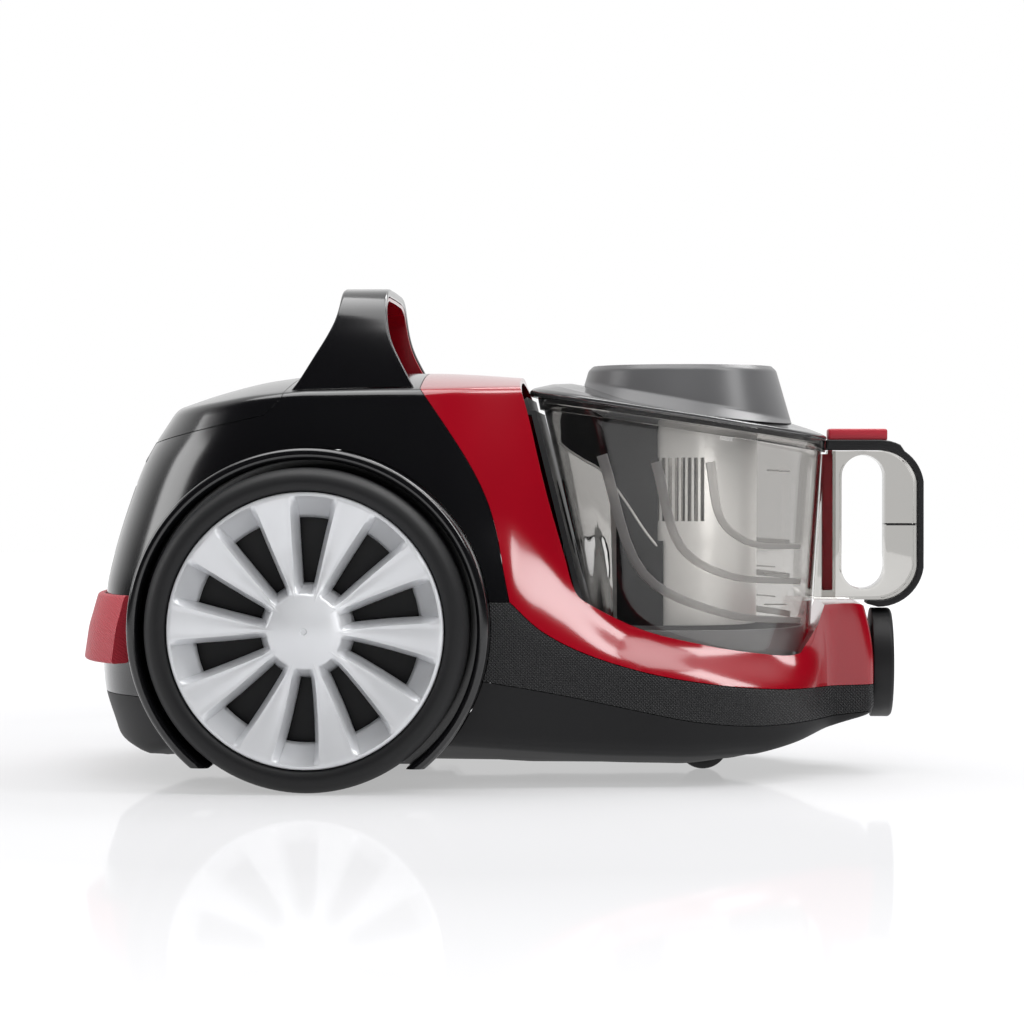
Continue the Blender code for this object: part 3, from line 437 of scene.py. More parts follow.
class MaterialNodes(Nodes):
    """The nodes of a new material."""

    def __init__(self, name):
        self.material = bpy.data.materials.new(name)
        self.material.use_nodes = True
        super().__init__(self.material.node_tree)
        self.shader = self.tree.nodes["Principled BSDF"]


GRAIN = (900.0, 0.15, 0.00005)         # noise scale, bump strength, bump depth in metres
GLOSS_GRAIN = (38.0, 0.03, 0.0002)
ROUGHNESS_SPREAD = 0.05
TINT_SPREAD = 0.1


def plastic(name, colour, roughness, grain=GRAIN, **sockets):
    """Moulded or painted material: fine grain, with uneven roughness and colour."""
    n = MaterialNodes(name)
    cloud = n.noise(22.0, 3.0)
    scale, strength, depth = grain
    dark = tuple(c * (1 - TINT_SPREAD) for c in colour) + (1.0,)
    light = tuple(min(1.0, c * (1 + TINT_SPREAD)) for c in colour) + (1.0,)
    low, high = roughness * (1 - ROUGHNESS_SPREAD), roughness * (1 + ROUGHNESS_SPREAD)
    n.put(n.shader.inputs["Base Color"], n.mixed(cloud, dark, light))
    n.put(n.shader.inputs["Roughness"], n.between(cloud, low, high))
    n.put(n.shader.inputs["Normal"], n.bump(n.noise(scale, 2.0), strength, depth))
    for key, value in sockets.items():
        n.put(n.shader.inputs[key.replace("_", " ")], value)
    return n


def ridged(name, colour, roughness, scale, turns, depth, **sockets):
    """A moulded finish with one or two sets of fine straight ridges."""
    n = plastic(name, colour, roughness, **sockets)
    height = n.waves(scale, turns[0])
    for turn in turns[1:]:
        height = n.math("MULTIPLY", height, n.waves(scale, turn))
    n.put(n.shader.inputs["Normal"], n.bump(height, 0.8, depth))
    return n


def clear_plastic(name, colour, roughness, ior=1.46, transmission=1.0):
    """See-through plastic, a little uneven in colour, roughness and surface."""
    n = MaterialNodes(name)
    cloud = n.noise(30.0, 2.0)
    light = tuple(colour) + (1.0,)
    dark = tuple(c * 0.96 for c in colour) + (1.0,)
    n.put(n.shader.inputs["Base Color"], n.mixed(cloud, dark, light))
    n.put(n.shader.inputs["Roughness"], n.between(cloud, roughness * 0.9, roughness * 1.1))
    n.put(n.shader.inputs["Transmission Weight"], transmission)
    n.put(n.shader.inputs["IOR"], ior)
    n.put(n.shader.inputs["Normal"], n.bump(n.noise(60.0, 2.0), 0.05, 0.0001))
    return n


def silver_paint():
    """Grey paint with fine metallic flakes."""
    n = plastic("silver_paint", (0.7, 0.71, 0.73), 0.34, (2600.0, 0.25, 0.00003))
    n.put(n.shader.inputs["Metallic"], n.between(n.noise(5200.0, 0.0), 0.2, 0.5))
    return n


def make_materials():
    made = {
        "gloss_black": plastic(
            "gloss_black_shell", (0.004, 0.004, 0.0048), 0.18, GLOSS_GRAIN,
            Coat_Weight=0.6, Coat_Roughness=0.12,
        ),
        "gloss_red": plastic(
            "gloss_red_shell", (0.3, 0.0015, 0.0095), 0.18, GLOSS_GRAIN,
            Coat_Weight=0.8, Coat_Roughness=0.1,
        ),
        "satin_black": plastic(
            "satin_black_moulding", (0.0075, 0.0075, 0.0082), 0.5, (1500.0, 0.3, 0.00008),
            Specular_IOR_Level=0.35,
        ),
        "band_black": ridged(
            "band_weave", (0.01, 0.01, 0.011), 0.42, 230.0, (45, -45), 0.001, Specular_IOR_Level=0.45,
        ),
        "grip_red": ridged("grip_red_ribs", (0.42, 0.03, 0.045), 0.45, 220.0, (52,), 0.0002),
        "button_red": plastic("button_red", (0.4, 0.02, 0.035), 0.42, (1500.0, 0.2, 0.00005)),
        "silver": silver_paint(),
        "shroud": plastic("shroud_silver", (0.86, 0.85, 0.83), 0.36, (1800.0, 0.2, 0.00004), Metallic=0.5),
        "rubber": plastic(
            "rubber_black", (0.008, 0.008, 0.0088), 0.55, (1200.0, 0.35, 0.0001), Specular_IOR_Level=0.4,
        ),
        "smoke": clear_plastic("smoke_clear", (0.71, 0.7, 0.685), 0.03),
        "handle_smoke": clear_plastic("smoke_handle", (0.56, 0.55, 0.53), 0.06, ior=1.07),
        "frosted": clear_plastic("smoke_frosted", (0.6, 0.59, 0.58), 0.34, transmission=0.8, ior=1.15),
        "lid_smoke": clear_plastic("smoke_dark", (0.06, 0.06, 0.062), 0.12, transmission=0.35, ior=2.0),
        "cap_grey": plastic("cap_grey_satin", (0.105, 0.105, 0.108), 0.3, (1500.0, 0.25, 0.00006)),
        "tray_grey": plastic("tray_grey_satin", (0.2, 0.2, 0.205), 0.42, (1500.0, 0.25, 0.00006)),
        "steel": plastic("brushed_steel", (0.55, 0.55, 0.56), 0.3, (700.0, 0.2, 0.00004), Metallic=1.0),
        "fan_metal": plastic("cast_fan", (0.5, 0.5, 0.51), 0.42, (500.0, 0.4, 0.0001), Metallic=1.0),
        "filter_white": ridged("pleated_filter", (0.72, 0.72, 0.69), 0.9, 120.0, (0,), 0.0008),
        "board_green": plastic("board", (0.01, 0.055, 0.025), 0.5),
    }
    return {name: nodes.material for name, nodes in made.items()}


MATERIALS = make_materials()

# ---------------------------------------------------------------- the casing's surface
rear_profile = pchip(REAR_PROFILE)
crown_line = pchip(CROWN_LINE)
keel_line = pchip(KEEL_LINE)
red_lower = pchip(RED_LOWER_EDGE)


def lean(z):
    """Share of the full width that is left at a height."""
    return 1.0 - 0.2 * (np.maximum(0.0, z - 0.09) / 0.13) ** 1.7


def ease(value, low, high):
    """0 below low, 1 above high, and a smooth rise between."""
    share = np.clip((value - low) / (high - low), 0.0, 1.0)
    return share * share * (3 - 2 * share)


def waist(x, z):
    """How far the flank is drawn in above the red shell's lower edge."""
    foot = red_lower(x) + 0.002
    rise = 0.048 - 0.026 * ease(x, 0.02, 0.075)
    along = ease(x, -0.04, 0.04) * (1.0 - ease(x, 0.15, 0.187))
    return WAIST * along * ease(z, foot - 0.25 * rise, foot + rise)


def nose_half_width(x):
    share = np.clip((x - REAR_CENTRE_X) / (NOSE_X - REAR_CENTRE_X), 0.0, 1.0)
    flank = BODY_HALF_WIDTH - (BODY_HALF_WIDTH - NOSE_R) * share * share * (3 - 2 * share)
    around = np.sqrt(np.maximum(0.0, NOSE_R**2 - np.maximum(0.0, x - NOSE_X) ** 2))
    return np.where(x <= NOSE_X, flank, (around**6 + NECK_HALF_WIDTH**6) ** (1 / 6))


def front_x(z):
    return np.maximum(0.2, FRONT_X - 4.4 * np.maximum(0.0, z - 0.06) ** 2)


def even_turns(count):
    """Turns that space points evenly round a quarter of the rear outline."""
    turns = np.linspace(0, pi / 2, 4001)
    x, y = 0.165 * np.cos(turns).clip(0) ** (2 / 3), 0.1285 * np.sin(turns) ** (2 / 3)
    run = np.concatenate([[0], np.cumsum(np.hypot(np.diff(x), np.diff(y)))])
    return np.interp(np.linspace(0, run[-1], count), run, turns)


NOSE_EDGE_R = 0.005
REAR_TURNS = even_turns(58)
FLANK_SHARES = np.linspace(0, 1, 86)[1:]
CORNER_TURNS = np.linspace(pi / 2, 0, 7)[1:]
FACE_SHARES = np.linspace(1, 0, 9)[1:]
PARTS = [len(REAR_TURNS), len(FLANK_SHARES), len(CORNER_TURNS), len(FACE_SHARES)]
STATIONS = sum(PARTS)


def half_outline(z, inset):
    """x and y from the rear's middle round the left side to the front's middle. z is (rows, stations)."""
    rear, flank, corner, face = np.split(np.arange(STATIONS), np.cumsum(PARTS[:-1]))
    x, y = np.empty(z.shape), np.empty(z.shape)
    reach = REAR_CENTRE_X - rear_profile(z) - inset
    width = BODY_HALF_WIDTH * lean(z) - inset
    end = front_x(z) - inset
    edge = NECK_HALF_WIDTH * lean(z) - inset
    x[:, rear] = REAR_CENTRE_X - reach[:, rear] * np.cos(REAR_TURNS).clip(0) ** (2 / PLAN_POWER)
    y[:, rear] = width[:, rear] * np.sin(REAR_TURNS) ** (2 / PLAN_POWER)
    along = REAR_CENTRE_X + (end[:, flank] - NOSE_EDGE_R - REAR_CENTRE_X) * FLANK_SHARES
    x[:, flank] = along
    y[:, flank] = nose_half_width(along) * lean(z[:, flank]) - waist(along, z[:, flank]) - inset
    x[:, corner] = end[:, corner] - NOSE_EDGE_R + NOSE_EDGE_R * np.cos(CORNER_TURNS)
    y[:, corner] = edge[:, corner] - NOSE_EDGE_R + NOSE_EDGE_R * np.sin(CORNER_TURNS)
    x[:, face] = end[:, face]
    y[:, face] = (edge[:, face] - NOSE_EDGE_R) * FACE_SHARES
    return x, y


def casing_solid(name, inset, shoulder=0.004, foot=0.006, levels=66):
    """The whole casing as one closed surface, moved inwards by inset."""
    def roof(x, y):
        return crown_line(x) - inset - CROWN_DROP * y * y

    def under(x, y):
        return keel_line(x) + inset + 0.3 * np.maximum(0.0, np.abs(y) - 0.085)

    top, bottom = np.full((1, STATIONS), 0.2), np.full((1, STATIONS), 0.03)
    for _ in range(40):
        top = 0.5 * top + 0.5 * roof(*half_outline(top, inset))
        bottom = 0.5 * bottom + 0.5 * under(*half_outline(bottom, inset))

    def flat_rows(edge_z, surface, back, count):
        """Rows from the edge to the middle line over the roof or the underside."""
        x, y = half_outline(edge_z, inset)
        middle = np.clip(x, -0.13, 0.15)
        run = np.maximum(1e-4, np.hypot(x - middle, y))
        rows = []
        for share in np.linspace(0, 1, count):
            part = np.minimum(1.0, (back + (run - back) * share) / run)
            px, py = x + (middle - x) * part, y * (1 - part)
            rows.append(np.stack([px, py, surface(px, py)], -1)[0])
        return rows

    def fillet(start, corner, stop):
        return [(1 - t) ** 2 * start + 2 * t * (1 - t) * corner + t * t * stop for t in (0.2, 0.4, 0.6, 0.8)]

    share = np.linspace(0, 1, levels)[:, None]
    heights = bottom + foot + (top - shoulder - bottom - foot) * share
    x, y = half_outline(heights, inset)
    side = list(np.stack([x, y, heights], -1))
    roof_rows = flat_rows(top, roof, shoulder, 18)
    floor_rows = flat_rows(bottom, under, foot, 14)
    x, y = half_outline(top, inset)
    top_corner = np.stack([x, y, top], -1)[0]
    x, y = half_outline(bottom, inset)
    bottom_corner = np.stack([x, y, bottom], -1)[0]
    rows = (
        floor_rows[::-1] + fillet(floor_rows[0], bottom_corner, side[0]) + side
        + fillet(side[-1], top_corner, roof_rows[0]) + roof_rows
    )
    rings = []
    for row in rows:
        mirrored = row[-2:0:-1] * np.array([1, -1, 1])
        rings.append(np.concatenate([row, mirrored]))
    return loft(name, rings, caps=False, weld=1e-5)


def moved(points, dx, dz):
    return [(x + dx, z + dz) for x, z in points]


def casing_regions():
    """Side-view outlines of the five shells."""
    half = GAP / 2
    top, floor = 0.245, -0.02
    seam = spline(BLACK_RED_SEAM[1:])
    lower = spline(RED_LOWER_EDGE)
    band_low = spline(BAND_LOWER_EDGE)
    opening = spline(BIN_OPENING)
    cover = spline(COVER_SEAM[:3]) + COVER_SEAM[3:]
    red = (
        [(seam[0][0] + half, top)] + moved(seam, half, 0) + moved(lower[1:], half, half)
        + [(0.23, 0.0885)] + spline(NECK_TOP[:-1], 4)[::-1] + opening[:-1][::-1] + [(0.0125, top)]
    )
    band = moved(lower, 0, -half) + moved(band_low[::-1], 0, half) + [(-0.0064, 0.1014 - half)]
    base = (
        [(-0.26, floor), (-0.26, REAR_BASE_SEAM_Z - half), (-0.05, REAR_BASE_SEAM_Z - half),
         (-0.05, 0.059 - half)] + moved(band_low, 0, -half) + [(0.23, floor)]
    )
    rear = (
        moved(seam[::-1], -half, 0) + [(seam[0][0] - half, top)]
        + moved(cover[::-1], half, -half)
        + [(-0.26, REAR_BASE_SEAM_Z + half), (-0.05 + GAP, REAR_BASE_SEAM_Z + half),
           (-0.05 + GAP, 0.059 + half), (-0.0064 - GAP, 0.059 + half), (-0.0064 - GAP, 0.1014)]
    )
    return {
        "front_housing": red, "side_band": band, "base_shell": base,
        "top_cover": moved(cover, 0, half) + [(-0.26, top)], "rear_housing": rear,
    }


def disc(name, radius, depth, matrix, steps=64):
    return lathe(name, [(0, 0), (radius, 0), (radius, depth), (0, depth)], matrix, steps, closed=False)


NECK_ROOF = [                 # outline of the wall that closes the neck over the hose port
    (0.17, 0.07), (0.1806, 0.086), (0.1845, 0.097), (0.205, 0.0972), (0.21, 0.094), (0.23, 0.0904),
    (0.23, 0.087), (0.209, 0.0908), (0.2045, 0.0942), (0.1865, 0.0942), (0.183, 0.085), (0.173, 0.069),
]
PEDAL_Y = 0.027
DOOR_LOW = (-0.26, -0.05, 0.1155)
DOOR_HIGH = (-0.195, 0.05, 0.1638)
DOOR_HOLE_LOW = (-0.26, -0.0504, 0.1146)
DOOR_HOLE_HIGH = (-0.195, 0.0504, 0.1654)
DOOR_SLOTS = [0.126 + i * 0.0095 for i in range(4)]
SHELLS = {                    # each shell's finish and the width of its rounded edges
    "front_housing": ("gloss_red", 0.0008), "side_band": ("band_black", 0.0008),
    "base_shell": ("satin_black", 0.0008), "top_cover": ("gloss_black", 0.0014),
    "rear_housing": ("gloss_black", 0.0008),
}


def pedal_matrix(y):
    return Matrix.Translation((-0.1935, y, 0.1815)) @ Matrix.Rotation(-radians(60), 4, "Y")


def shell_holes(name):
    """What is cut out of a shell for the wheels, port, caster, pedals, door and cord outlet."""
    holes = []
    if name in ("side_band", "base_shell", "rear_housing"):
        for side in (-1, 1):
            holes.append(disc("well", ARCH_R + GAP, 0.08, wheel_matrix(side, -0.005), 160))
    if name in ("front_housing", "side_band", "base_shell"):
        holes.append(disc("port_hole", 0.0222, 0.04, along_x(0.195, 0, PORT_Z)))
    if name == "base_shell":
        holes.append(disc("caster_hole", 0.0285, 0.04, Matrix.Translation((CASTER_X, 0, -0.005))))
    if name in ("rear_housing", "top_cover"):
        for y in (-PEDAL_Y, PEDAL_Y):
            corner = Vector((0.0074, 0.0224, 0.03))
            holes.append(box("pedal_hole", -corner, corner, 0.0, pedal_matrix(y)))
    if name == "rear_housing":
        holes.append(box("door_hole", DOOR_HOLE_LOW, DOOR_HOLE_HIGH))
        holes.append(disc("outlet_way", 0.0082, 0.04, along_x(-0.24, 0.035, 0.0572), 48))
    return holes


def casing():
    outer = casing_solid("casing_outer", 0.0)
    inner = casing_solid("casing_inner", WALL, 0.003, 0.005, 50)
    skin = cut(outer, [inner])
    neck_roof = cut(prism("neck_roof", NECK_ROOF, 0.2), [casing_solid("neck_room", 0.0003)], "INTERSECT")
    regions = casing_regions()
    for name, (slot, edge) in SHELLS.items():
        region = prism(name + "_region", regions[name], 0.2)
        shell = cut(copy_of(skin, name + "_skin"), [region], "INTERSECT")
        holes = shell_holes(name)
        if name == "front_housing":
            shell = cut(cut(shell, holes, weld=1e-6), [neck_roof], "UNION", 1e-6)
        elif holes:
            shell = cut(shell, holes, weld=1e-4)
        done(soften(shell, edge), "chassis", slot, name)
    door = cut(copy_of(skin, "exhaust_door_skin"), [box("door_region", DOOR_LOW, DOOR_HIGH)], "INTERSECT")
    slots = [box("door_slot", (-0.26, -0.04, z - 0.0016), (-0.19, 0.04, z + 0.0016)) for z in DOOR_SLOTS]
    done(soften(cut(door, slots)), "exhaust_cover", "satin_black", "exhaust_door")
    bpy.data.objects.remove(skin)


# ---------------------------------------------------------------- bumper, pedals, outlet
BUMPER_FRONT_X = -0.1978
BUMPER_SECTION = [            # height, distance out from the casing
    (0.0664, 0.0004), (0.0662, 0.0104), (0.085, 0.0082), (0.1036, 0.0045), (0.1038, 0.0004),
]


def bumper():
    """A closed section carried round the rear."""
    rows = []
    for z, out in filleted(BUMPER_SECTION, 0.0022, 5):
        x, y = half_outline(np.full((1, STATIONS), z), -out)
        rows.append([(px, py, z) for px, py in zip(x[0], y[0]) if px < BUMPER_FRONT_X])
    count = min(len(row) for row in rows)
    rings = [[(x, -y, z) for x, y, z in row[count - 1:0:-1]] + row[:count] for row in rows]
    columns = [[ring[i] for ring in rings] for i in range(len(rings[0]))]
    done(smooth(loft("bumper_band", columns)), "chassis", "grip_red", "rear_bumper")


def small_rear_parts():
    for name, body, y in (
        ("cord_rewind_pedal", "rewind_switch", -PEDAL_Y), ("power_pedal", "power_switch", PEDAL_Y),
    ):
        low, high = (-0.007, -0.022, -0.009), (0.007, 0.022, 0.0035)
        done(smooth(box(name + "_pad", low, high, 0.0012, pedal_matrix(y))), body, "cap_grey", name)
    profile = filleted([
        (0.0042, 0.009), (0.0066, 0.009), (0.0078, 0.0075), (0.0078, -0.006), (0.0042, -0.006),
    ], 0.0008, 3)
    where = Matrix.Translation((-0.2195, 0.035, 0.0572)) @ Matrix.Rotation(-pi / 2, 4, "Y")
    done(smooth(lathe("cord_outlet_bush", profile, where, 64)), "chassis", "satin_black", "cord_outlet")


# ---------------------------------------------------------------- carrying handle
def arch_strip(name, section, trim=0.0):
    """The arch with a closed section of (from the rear or the front edge, offset, depth) points."""
    half = [Vector(p) for p in spline(HANDLE_ARCH, 6)]
    path = half + [Vector((-p.x, p.y)) for p in reversed(half[:-1])]
    heights = np.array([point.y for point in path])
    span = np.stack([pchip(HANDLE_SPAN, 1)(heights) + trim, pchip(HANDLE_SPAN, 2)(heights) - trim])
    for _ in range(14):
        span[:, 1:-1] = 0.25 * span[:, :-2] + 0.5 * span[:, 1:-1] + 0.25 * span[:, 2:]
    rings = []
    for i, point in enumerate(path):
        ahead = path[min(i + 1, len(path) - 1)] - path[max(i - 1, 0)]
        inward = Vector((ahead.y, -ahead.x)).normalized()
        ring = []
        for edge, offset, depth in section:
            at = point - inward * depth
            ring.append((span[edge, i] + offset, at.x, at.y))
        rings.append(ring)
    return loft(name, rings)


def strip_section(low, high, edge):
    """A rounded rectangle between two depths, as (edge, offset, depth) points."""
    into = min(edge, 0.45 * (high - low))
    section = []
    for side, depth in ((0, low), (0, high), (1, high), (1, low)):
        across = -edge if side else edge
        along = into if depth == low else -into
        steps = [j / 4 for j in range(5)]
        if (side, depth) in ((0, high), (1, low)):
            steps.reverse()
        for t in steps:
            section.append((side, (1 - t) ** 2 * across, depth + t * t * along))
    return section


def carry_handle():
    """Shell and liner of the arch, cut off where they meet the casing."""
    grown = casing_solid("handle_foot_cut", -GAP, 0.004, 0.006, 40)
    for name, depths, trim, edge, slot, node in (
        ("handle_arch", (0.0, 0.0045), 0.0, 0.0016, "gloss_black", "carry_handle"),
        ("handle_inner", (0.0049, 0.007), 0.0004, 0.0008, "gloss_red", "handle_liner"),
    ):
        strip = arch_strip(name, strip_section(*depths, edge), trim)
        strip = cut(strip, [copy_of(grown, "foot")])
        done(smooth(strip), "chassis", slot, node)
    bpy.data.objects.remove(grown)


# ---------------------------------------------------------------- drive wheels
POCKETS = 10
POCKET_DEPTH = 0.015
POCKET_START_R = 0.02
POCKET_END_R = 0.0722
WINDOW = (0.0257, 0.0606)     # the radii between which a pocket is open right through
FLOOR_STEPS, WALL_STEPS, SPOKE_STEPS = 4, 8, 4
CAP_FRONT = [                 # radius, height of the hubcap's face
    (0.0, 0.0432), (0.006, 0.0429), (0.012, 0.0419), (0.0165, 0.0405), (0.0205, 0.0387), (0.024, 0.037),
    (0.028, 0.0357), (0.034, 0.035), (0.042, 0.035), (0.055, 0.036), (0.066, 0.0374), (0.0722, 0.0381),
    (0.0745, 0.0381),
]
CAP_RADII = [
    0.02, 0.0205, 0.0214, 0.0225, 0.024, *np.linspace(*WINDOW, 22),
    0.0624, 0.0645, 0.0666, 0.0686, 0.0702, 0.0714, 0.0722,
]
CAP_MIDDLE_RADII = (0.0185, 0.0165, 0.014, 0.011, 0.008, 0.005, 0.0026, 0.0019, 0.0015)
DIMPLE_R, DIMPLE_DEPTH = 0.0018, 0.0007
CAP_RIM = [
    (0.0728, 0.038), (0.0734, 0.0379), (0.0739, 0.0376), (0.0742, 0.0371), (0.0743, 0.0362), (0.0743, 0.035),
]
cap_front = pchip(CAP_FRONT)


def pocket_floor(r):
    """Share of the pocket's full depth that its floor has reached."""
    from_hub = np.clip((r - POCKET_START_R) / (WINDOW[0] - POCKET_START_R), 0, 1)
    from_rim = np.clip((POCKET_END_R - r) / (POCKET_END_R - WINDOW[1]), 0, 1)
    return from_hub**1.2 * from_rim**0.75


def pocket_line(r):
    """(offset along the arc, height) points from a pocket's middle to the next spoke's middle."""
    front = cap_front(r)
    sector = r * pi / POCKETS
    half = min(0.005 + (r - 0.017) * 0.145, sector - 0.0004)
    room = sector - half
    inner = half - 0.0035 * min(1.0, (r - 0.014) / 0.01)
    depth = POCKET_DEPTH * pocket_floor(r)
    crest = min(0.00012, 0.25 * room)
    line = [(inner * i / FLOOR_STEPS, front - depth) for i in range(FLOOR_STEPS)]
    for i in range(WALL_STEPS):
        t = i / WALL_STEPS
        line.append((inner + (half - inner) * t**1.6 * 0.96, front - depth * (1 - t)))
    line += [(half + share * room, front + crest * rise) for share, rise in ((0, 1), (0.1, 1.1), (0.22, 0.1))]
    for i in range(1, SPOKE_STEPS + 1):
        t = i / SPOKE_STEPS
        line.append((half + room * (0.22 + 0.78 * t), front + 0.0004 * sin(pi / 2 * t)))
    return line


def hubcap(side, word):
    """Ten pockets with open windows between tapering spokes, on a domed hub."""
    bm = bmesh.new()
    matrix = wheel_matrix(side)

    def around(r, bearings, heights):
        rows = zip(bearings, heights)
        return [bm.verts.new(matrix @ Vector((r * cos(turn), -side * r * sin(turn), h))) for turn, h in rows]

    rings = []
    for r in CAP_RADII:
        line = pocket_line(r)
        sweep = radians(14.0 + 2.5 * (0.0707 - r) / (0.0707 - 0.017))
        both = [(-offset, h) for offset, h in reversed(line[1:])] + line[:-1]
        starts = [2 * pi * i / POCKETS + sweep for i in range(POCKETS)]
        bearings = [start + offset / r for start in starts for offset, _ in both]
        rings.append(around(r, bearings, [h for _, h in both] * POCKETS))
        if r == CAP_RADII[0]:
            first_bearings = bearings
    middle = len(line) - 1
    for low_r, low, high_r, high in zip(CAP_RADII, rings, CAP_RADII[1:], rings[1:]):
        is_open = WINDOW[0] - 1e-6 <= low_r and high_r <= WINDOW[1] + 1e-6
        for k in range(len(low)):
            if is_open and middle - FLOOR_STEPS <= k % len(both) < middle + FLOOR_STEPS:
                continue
            n = (k + 1) % len(low)
            bm.faces.new((low[k], low[n], high[n], high[k]))
    inner = rings[0]
    for r in CAP_MIDDLE_RADII:
        height = float(cap_front(r)) - (DIMPLE_DEPTH if r < DIMPLE_R else 0.0)
        ring = around(r, first_bearings, [height] * len(inner))
        join(bm, ring, inner)
        inner = ring
    bm.faces.new(inner)
    outer = rings[-1]
    for r, h in CAP_RIM:
        ring = around(r, bearings, [h] * len(outer))
        join(bm, outer, ring)
        outer = ring
    cap = from_bmesh(f"hubcap_face_{word}", bm)
    if side * sum(face.normal.y * face.area for face in cap.data.polygons) < 0:
        cap.data.flip_normals()
    wall = cap.modifiers.new("wall", "SOLIDIFY")
    wall.thickness = 0.0011
    wall.offset = -1.0
    wall.use_even_offset = False
    done(smooth(cap, 50), f"wheel_{word}", "silver", f"hubcap_{word}")


TYRE_OUTSIDE = [              # (radius, height) in the wheel's own frame, as in the three lists below
    (0.0747, 0.0362), (0.0754, 0.0378), (0.0766, 0.0388), (0.078, 0.0395), (0.0796, 0.0397),
    (0.0815, 0.0392), (0.0836, 0.038), (0.0853, 0.036), (0.0866, 0.0334), (0.0872, 0.0312),
]
TYRE_INSIDE = [
    (0.087, 0.0085), (0.0862, 0.0055), (0.0845, 0.0024), (0.082, 0.0008), (0.078, 0.0002), (0.0747, 0.0004),
]
CARRIER = [
    (0.0055, 0.03), (0.013, 0.03), (0.013, 0.016), (0.07, 0.016),
    (0.07, 0.034), (0.074, 0.034), (0.074, 0.003), (0.0055, 0.008),
]
ARCH_LIP = [
    (0.0915, -0.0015), (0.0915, 0.026), (0.092, 0.0274), (0.093, 0.0283), (0.0945, 0.0285), (0.096, 0.0281),
    (0.0972, 0.0272), (0.0977, 0.0258), (0.0977, -0.0045), (0.006, -0.0045), (0.006, -0.0015),
]
GROOVE_DEPTH = 0.0009


def wheel(side, word):
    turn = wheel_matrix(side)
    tread = [(WHEEL_Z, 0.03)]
    for h in (0.0265, 0.02, 0.0135):
        foot = WHEEL_Z - GROOVE_DEPTH
        tread += [(WHEEL_Z, h + 0.0008), (foot, h + 0.0005), (foot, h - 0.0005), (WHEEL_Z, h - 0.0008)]
    tread += [(WHEEL_Z, 0.01)]
    tyre = lathe(f"tyre_tread_{word}", spline(TYRE_OUTSIDE, 3) + tread + spline(TYRE_INSIDE, 3), turn, 160)
    done(smooth(tyre, 30), f"wheel_{word}", "rubber", f"tyre_{word}")
    carrier = lathe(f"wheel_body_{word}", filleted(CARRIER, 0.0008, 3), turn, 128)
    done(smooth(carrier), f"wheel_{word}", "satin_black", f"wheel_carrier_{word}")
    arch = lathe(f"arch_lip_{word}", ARCH_LIP, turn, 192)
    arch = cut(arch, [box("arch_trim", (-0.3, -0.2, -0.05), (0.05, 0.2, 0.0128))])
    done(soften(arch, 0.0004), "chassis", "gloss_black", f"wheel_arch_{word}")


# ---------------------------------------------------------------- front caster
CASTER_WHEEL_X = CASTER_X - CASTER_TRAIL


def caster_ear(side):
    """One side of the fork, tapering down to the axle."""
    outline = [(0.0075, 0.0365), (0.0058, 0.015)]
    for i in range(9):
        turn = radians(-20 - 140 * i / 8)
        outline.append((0.0058 * cos(turn), 0.0152 + 0.0052 * sin(turn)))
    outline += [(-0.0058, 0.015)]
    outline = [(CASTER_WHEEL_X + x, z) for x, z in [(-0.006, 0.0365), *outline]]
    return prism("ear", outline, 0.00175, side * 0.01025)


def caster():
    swivel = Matrix.Translation((CASTER_X, 0, 0))
    socket = filleted([
        (0.0255, 0.013), (0.0282, 0.013), (0.0282, 0.041), (0.004, 0.041), (0.004, 0.0385), (0.0255, 0.0385),
    ], 0.0008, 3)
    done(smooth(lathe("caster_cup", socket, swivel, 96)), "chassis", "satin_black", "caster_socket")
    plate = filleted([(0.023, 0.0382), (0.023, 0.034), (0.0, 0.034)], 0.001, 3, False)
    plate = lathe("caster_frame", [(0.0, 0.0382), *plate], swivel, 72, closed=False)
    stem = disc("stem", 0.0036, 0.01, Matrix.Translation((CASTER_X, 0, 0.036)), 32)
    fork = cut(plate, [stem, caster_ear(-1), caster_ear(1)], "UNION")
    fork = cut(fork, [disc("pin_hole", 0.0024, 0.06, along_y(CASTER_WHEEL_X, -0.03, CASTER_Z), 32)])
    done(soften(fork, 0.0004), "caster", "satin_black", "caster_fork")
    tyre = filleted([
        (0.0024, 0.016), (0.011, 0.016), (0.01485, 0.0125), (0.01485, 0.0035), (0.011, 0.0), (0.0024, 0.0),
    ], 0.0014, 4)
    tyre = lathe("caster_roller_tyre", tyre, along_y(CASTER_WHEEL_X, -0.008, CASTER_Z), 72)
    done(smooth(tyre), "caster_roller", "rubber", "caster_wheel")
    pin = filleted([(0, 0.0236), (0.002, 0.0236), (0.002, 0.0), (0, 0)], 0.0004, 2, False)
    pin = lathe("caster_axle_pin", pin, along_y(CASTER_WHEEL_X, -0.0118, CASTER_Z), 32, closed=False)
    done(smooth(pin), "caster", "steel", "caster_pin")


# ---------------------------------------------------------------- dust bin
BIN_STEPS = 176
CRADLE_FLOOR_Z = 0.063


def inlet_hole():
    """Cutter for the hole the air comes in by, through the cradle and the bin's rear wall."""
    return disc("inlet_hole", 0.0125, 0.055, along_x(0.015, 0.04, 0.12))


def lid_plane_z(x):
    slope = (LID_FRONT[1] - LID_REAR[1]) / (LID_FRONT[0] - LID_REAR[0])
    return LID_REAR[1] + slope * (x - LID_REAR[0])


def lid_height(x, above):
    """Height of a surface above or below the lid's slanting plane. The lid thins towards its front."""
    share = (x - LID_REAR[0]) / (LID_FRONT[0] - LID_REAR[0])
    thinning = 1.0 - (1.0 - LID_FRONT_RISE) * share if above > 0 else 1.0
    return lid_plane_z(x) + above * thinning


def rear_plane_x(z):
    return 0.0215 + (0.2163 - z) * 0.25


